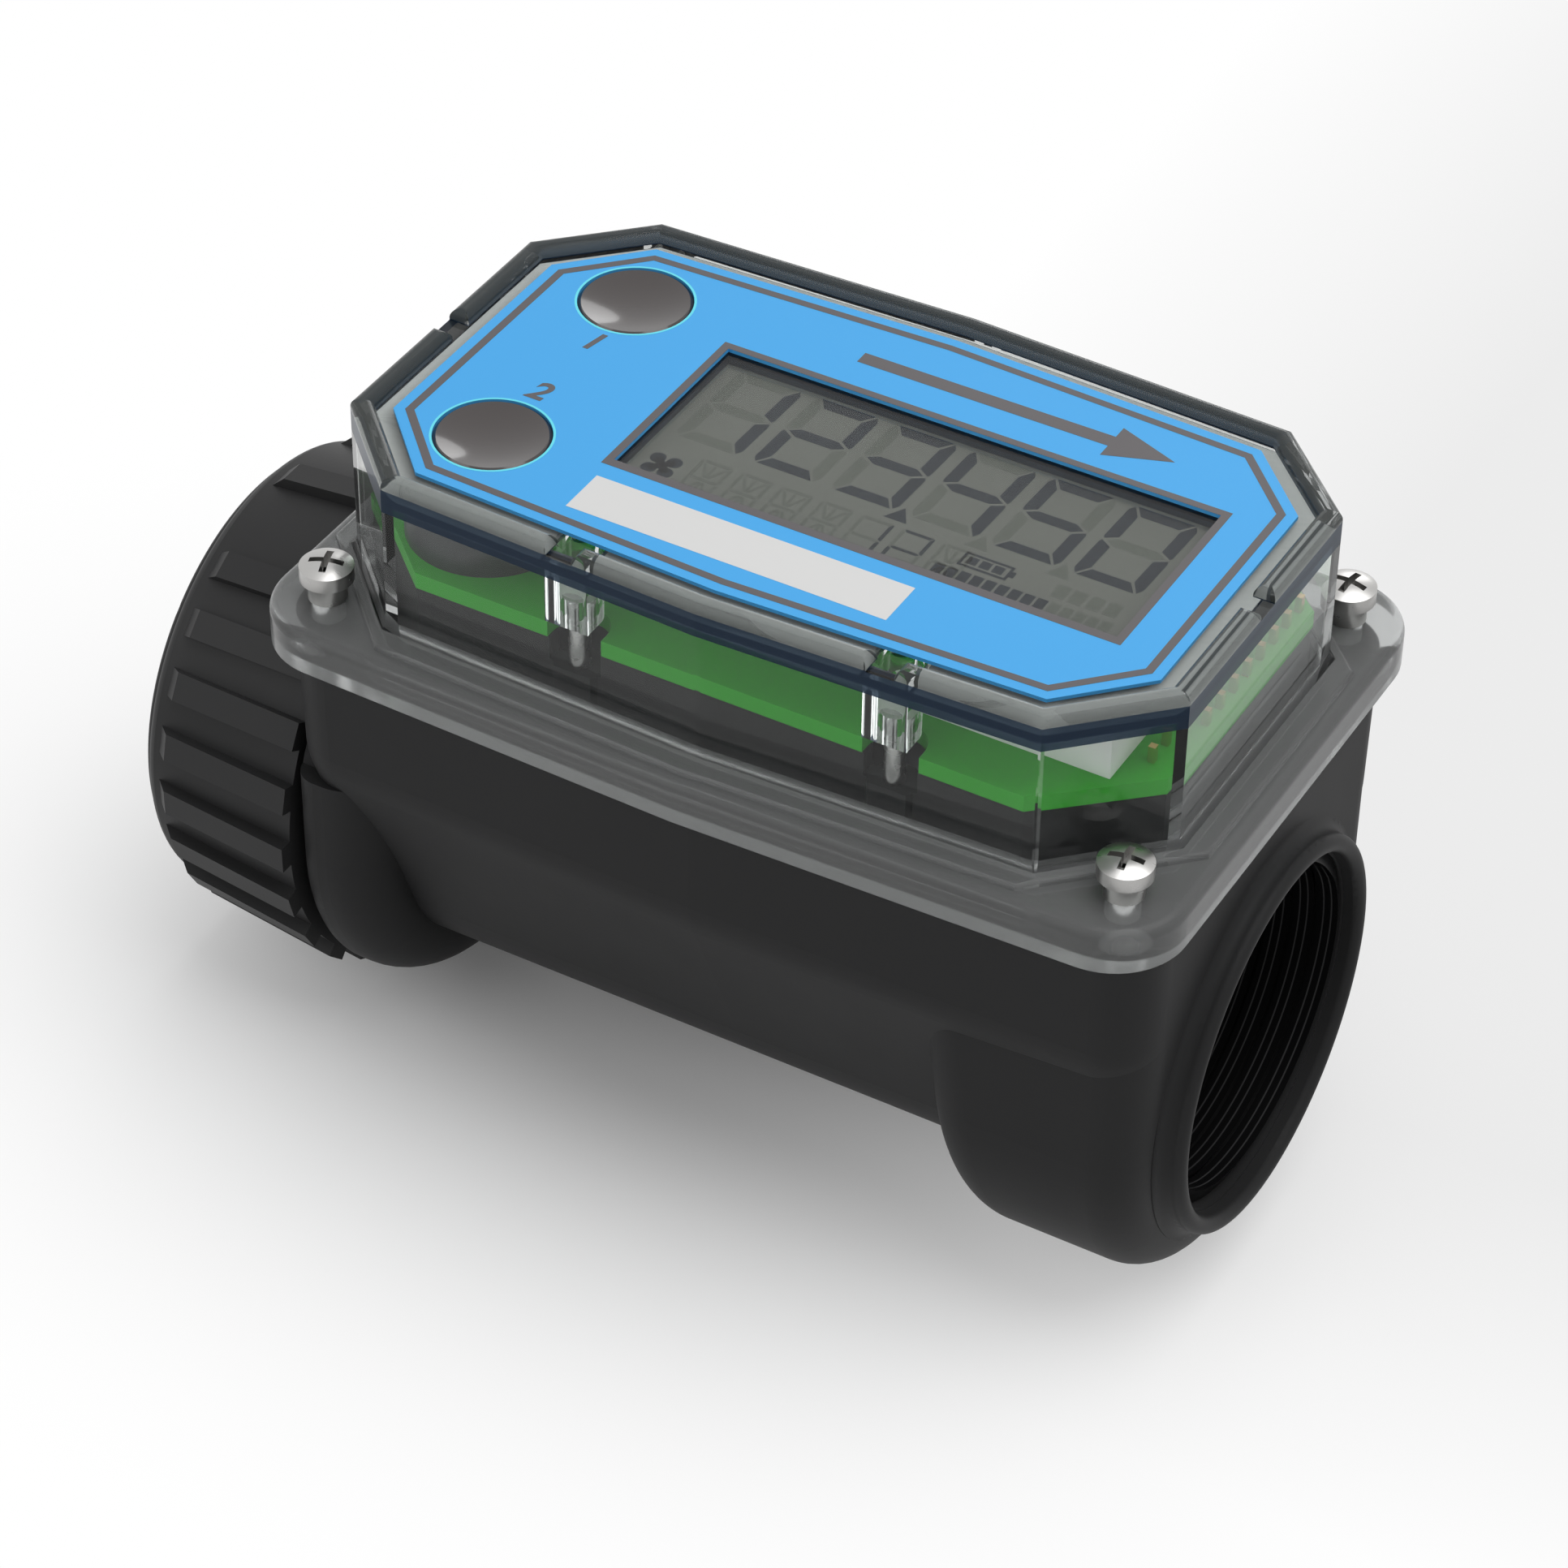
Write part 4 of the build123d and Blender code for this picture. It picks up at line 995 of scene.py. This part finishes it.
# Stage
class FLOWMETER_OT_stage(bpy.types.Operator):
    """Sets the floor, the soft light and the camera"""

    bl_idname = "flowmeter.stage"
    bl_label = "Stage"

    def execute(self, context):
        scene = context.scene
        sizes = scene.stage_sizes
        floor_z, half = cad_low.z - 0.2 * MM, 3.0
        corners = [(x, y, floor_z) for x, y in rectangle((-half, -half), (half, half))]
        floor = mesh_object("floor", corners, [(0, 1, 2, 3)])
        material, shader = finish("floor_white", (0.93, 0.93, 0.93), 0.9)
        tree = material.node_tree
        _, (x, y, _) = place(material)
        # The floor fades into the backdrop in an oval round the object's nut side; the glowing white also
        # paints light into the object's shadow, more towards the port
        fade_x, fade_reach, oval = cover_x - 0.02, 0.08, 1.5
        along = (x - fade_x) / oval
        fade = ramp((along * along + y * y) ** 0.5, 0.0, fade_reach, "SMOOTHSTEP")
        # The backdrop is a little greyer behind the port, a painted shadow
        painted_shadow_behind_port = ramp(x, -0.09, -0.03) * ramp(y, -0.03, 0.02)
        shade = mix(painted_shadow_behind_port, (1.0, 1.0, 1.0), (0.84, 0.84, 0.84))
        white = node(tree, "ShaderNodeEmission", {}, {"Color": shade, "Strength": sizes.backdrop})
        layers = [fade * background_rays(tree), Socket(tree, shader.outputs[0]), white]
        feed(tree.nodes["Material Output"], "Surface", node(tree, "ShaderNodeMixShader", {}, layers))
        paint(material, floor)

        # The room's own light is weaker than the background looks
        around = 0.3
        world = bpy.data.worlds.new("studio")
        scene.world = world
        world.use_nodes = True
        room = world.node_tree.nodes["Background"]
        room.inputs["Color"].default_value = (1, 1, 1, 1)
        feed(room, "Strength", background_rays(world.node_tree) * (sizes.backdrop - around) + around)

        # Round lamps: name, place, width and power
        lamps = (
            ("top", (0.2, 0.08, 0.83), 0.9, 5.4),
            ("fill", (-0.5, -0.6, 0.5), 0.6, 1.3),
            ("back", (-0.25, 0.8, 0.32), 0.4, 0.9),
        )
        aim = Vector((cover_x, 0, 0.01))
        for name, spot, size, power in lamps:
            light = bpy.data.lights.new(name, "AREA")
            light.shape = "DISK"
            light.size = size
            light.energy = power
            lamp = add_object(name, light)
            lamp.location = spot
            lamp.rotation_mode = "QUATERNION"
            lamp.rotation_quaternion = (aim - Vector(spot)).to_track_quat("-Z", "Y")

        azimuth, elevation, roll = (math.radians(a) for a in sizes.camera_turn)
        level = math.cos(elevation)
        back = Vector((math.sin(azimuth) * level, -math.cos(azimuth) * level, math.sin(elevation)))
        right = (-back).cross(Vector((0, 0, 1))).normalized()
        up = right.cross(-back)
        side = right * math.cos(roll) + up * math.sin(roll)
        top = up * math.cos(roll) - right * math.sin(roll)
        lens = bpy.data.cameras.new("camera")
        lens.lens = sizes.lens
        lens.sensor_width = 36.0
        lens.clip_start = 0.01
        lens.clip_end = 20.0
        camera = add_object("camera", lens)
        rotation = Matrix((side, top, back)).transposed()
        camera.matrix_world = Matrix.Translation(sizes.camera_place) @ rotation.to_4x4()
        scene.camera = camera
        scene.view_settings.view_transform = "Standard"
        return {"FINISHED"}


class FLOWMETER_PT_panel(bpy.types.Panel):
    """Sizes, colours and steps of the flow meter"""

    bl_idname = "FLOWMETER_PT_panel"
    bl_label = "Flow Meter"
    bl_space_type = "VIEW_3D"
    bl_region_type = "UI"
    bl_category = "Flow Meter"

    def draw(self, context):
        for operator in OPERATORS:
            self.layout.operator(operator.bl_idname)
        for name, _ in GROUPS:
            group = getattr(context.scene, name)
            box = self.layout.box()
            box.label(text=name.replace("_", " ").capitalize())
            for key in group.__annotations__:
                box.prop(group, key)


GROUPS = (
    ("thread_sizes", ThreadSizes),
    ("print_sizes", PrintSizes),
    ("display_sizes", DisplaySizes),
    ("screw_sizes", ScrewSizes),
    ("meter_colours", MeterColours),
    ("stage_sizes", StageSizes),
)
OPERATORS = (
    FLOWMETER_OT_mouldings,
    FLOWMETER_OT_metals,
    FLOWMETER_OT_cover,
    FLOWMETER_OT_faceplate,
    FLOWMETER_OT_display,
    FLOWMETER_OT_buttons,
    FLOWMETER_OT_board,
    FLOWMETER_OT_screws,
    FLOWMETER_OT_threads,
    FLOWMETER_OT_stage,
)


def register():
    for name, group in GROUPS:
        bpy.utils.register_class(group)
        setattr(bpy.types.Scene, name, bpy.props.PointerProperty(type=group))
    for made in (*OPERATORS, FLOWMETER_PT_panel):
        bpy.utils.register_class(made)


def unregister():
    for made in (FLOWMETER_PT_panel, *reversed(OPERATORS)):
        bpy.utils.unregister_class(made)
    for name, group in reversed(GROUPS):
        delattr(bpy.types.Scene, name)
        bpy.utils.unregister_class(group)


def main():
    register()
    for operator in OPERATORS:
        group, name = operator.bl_idname.split(".")
        getattr(getattr(bpy.ops, group), name)()


if __name__ == "__main__":
    main()
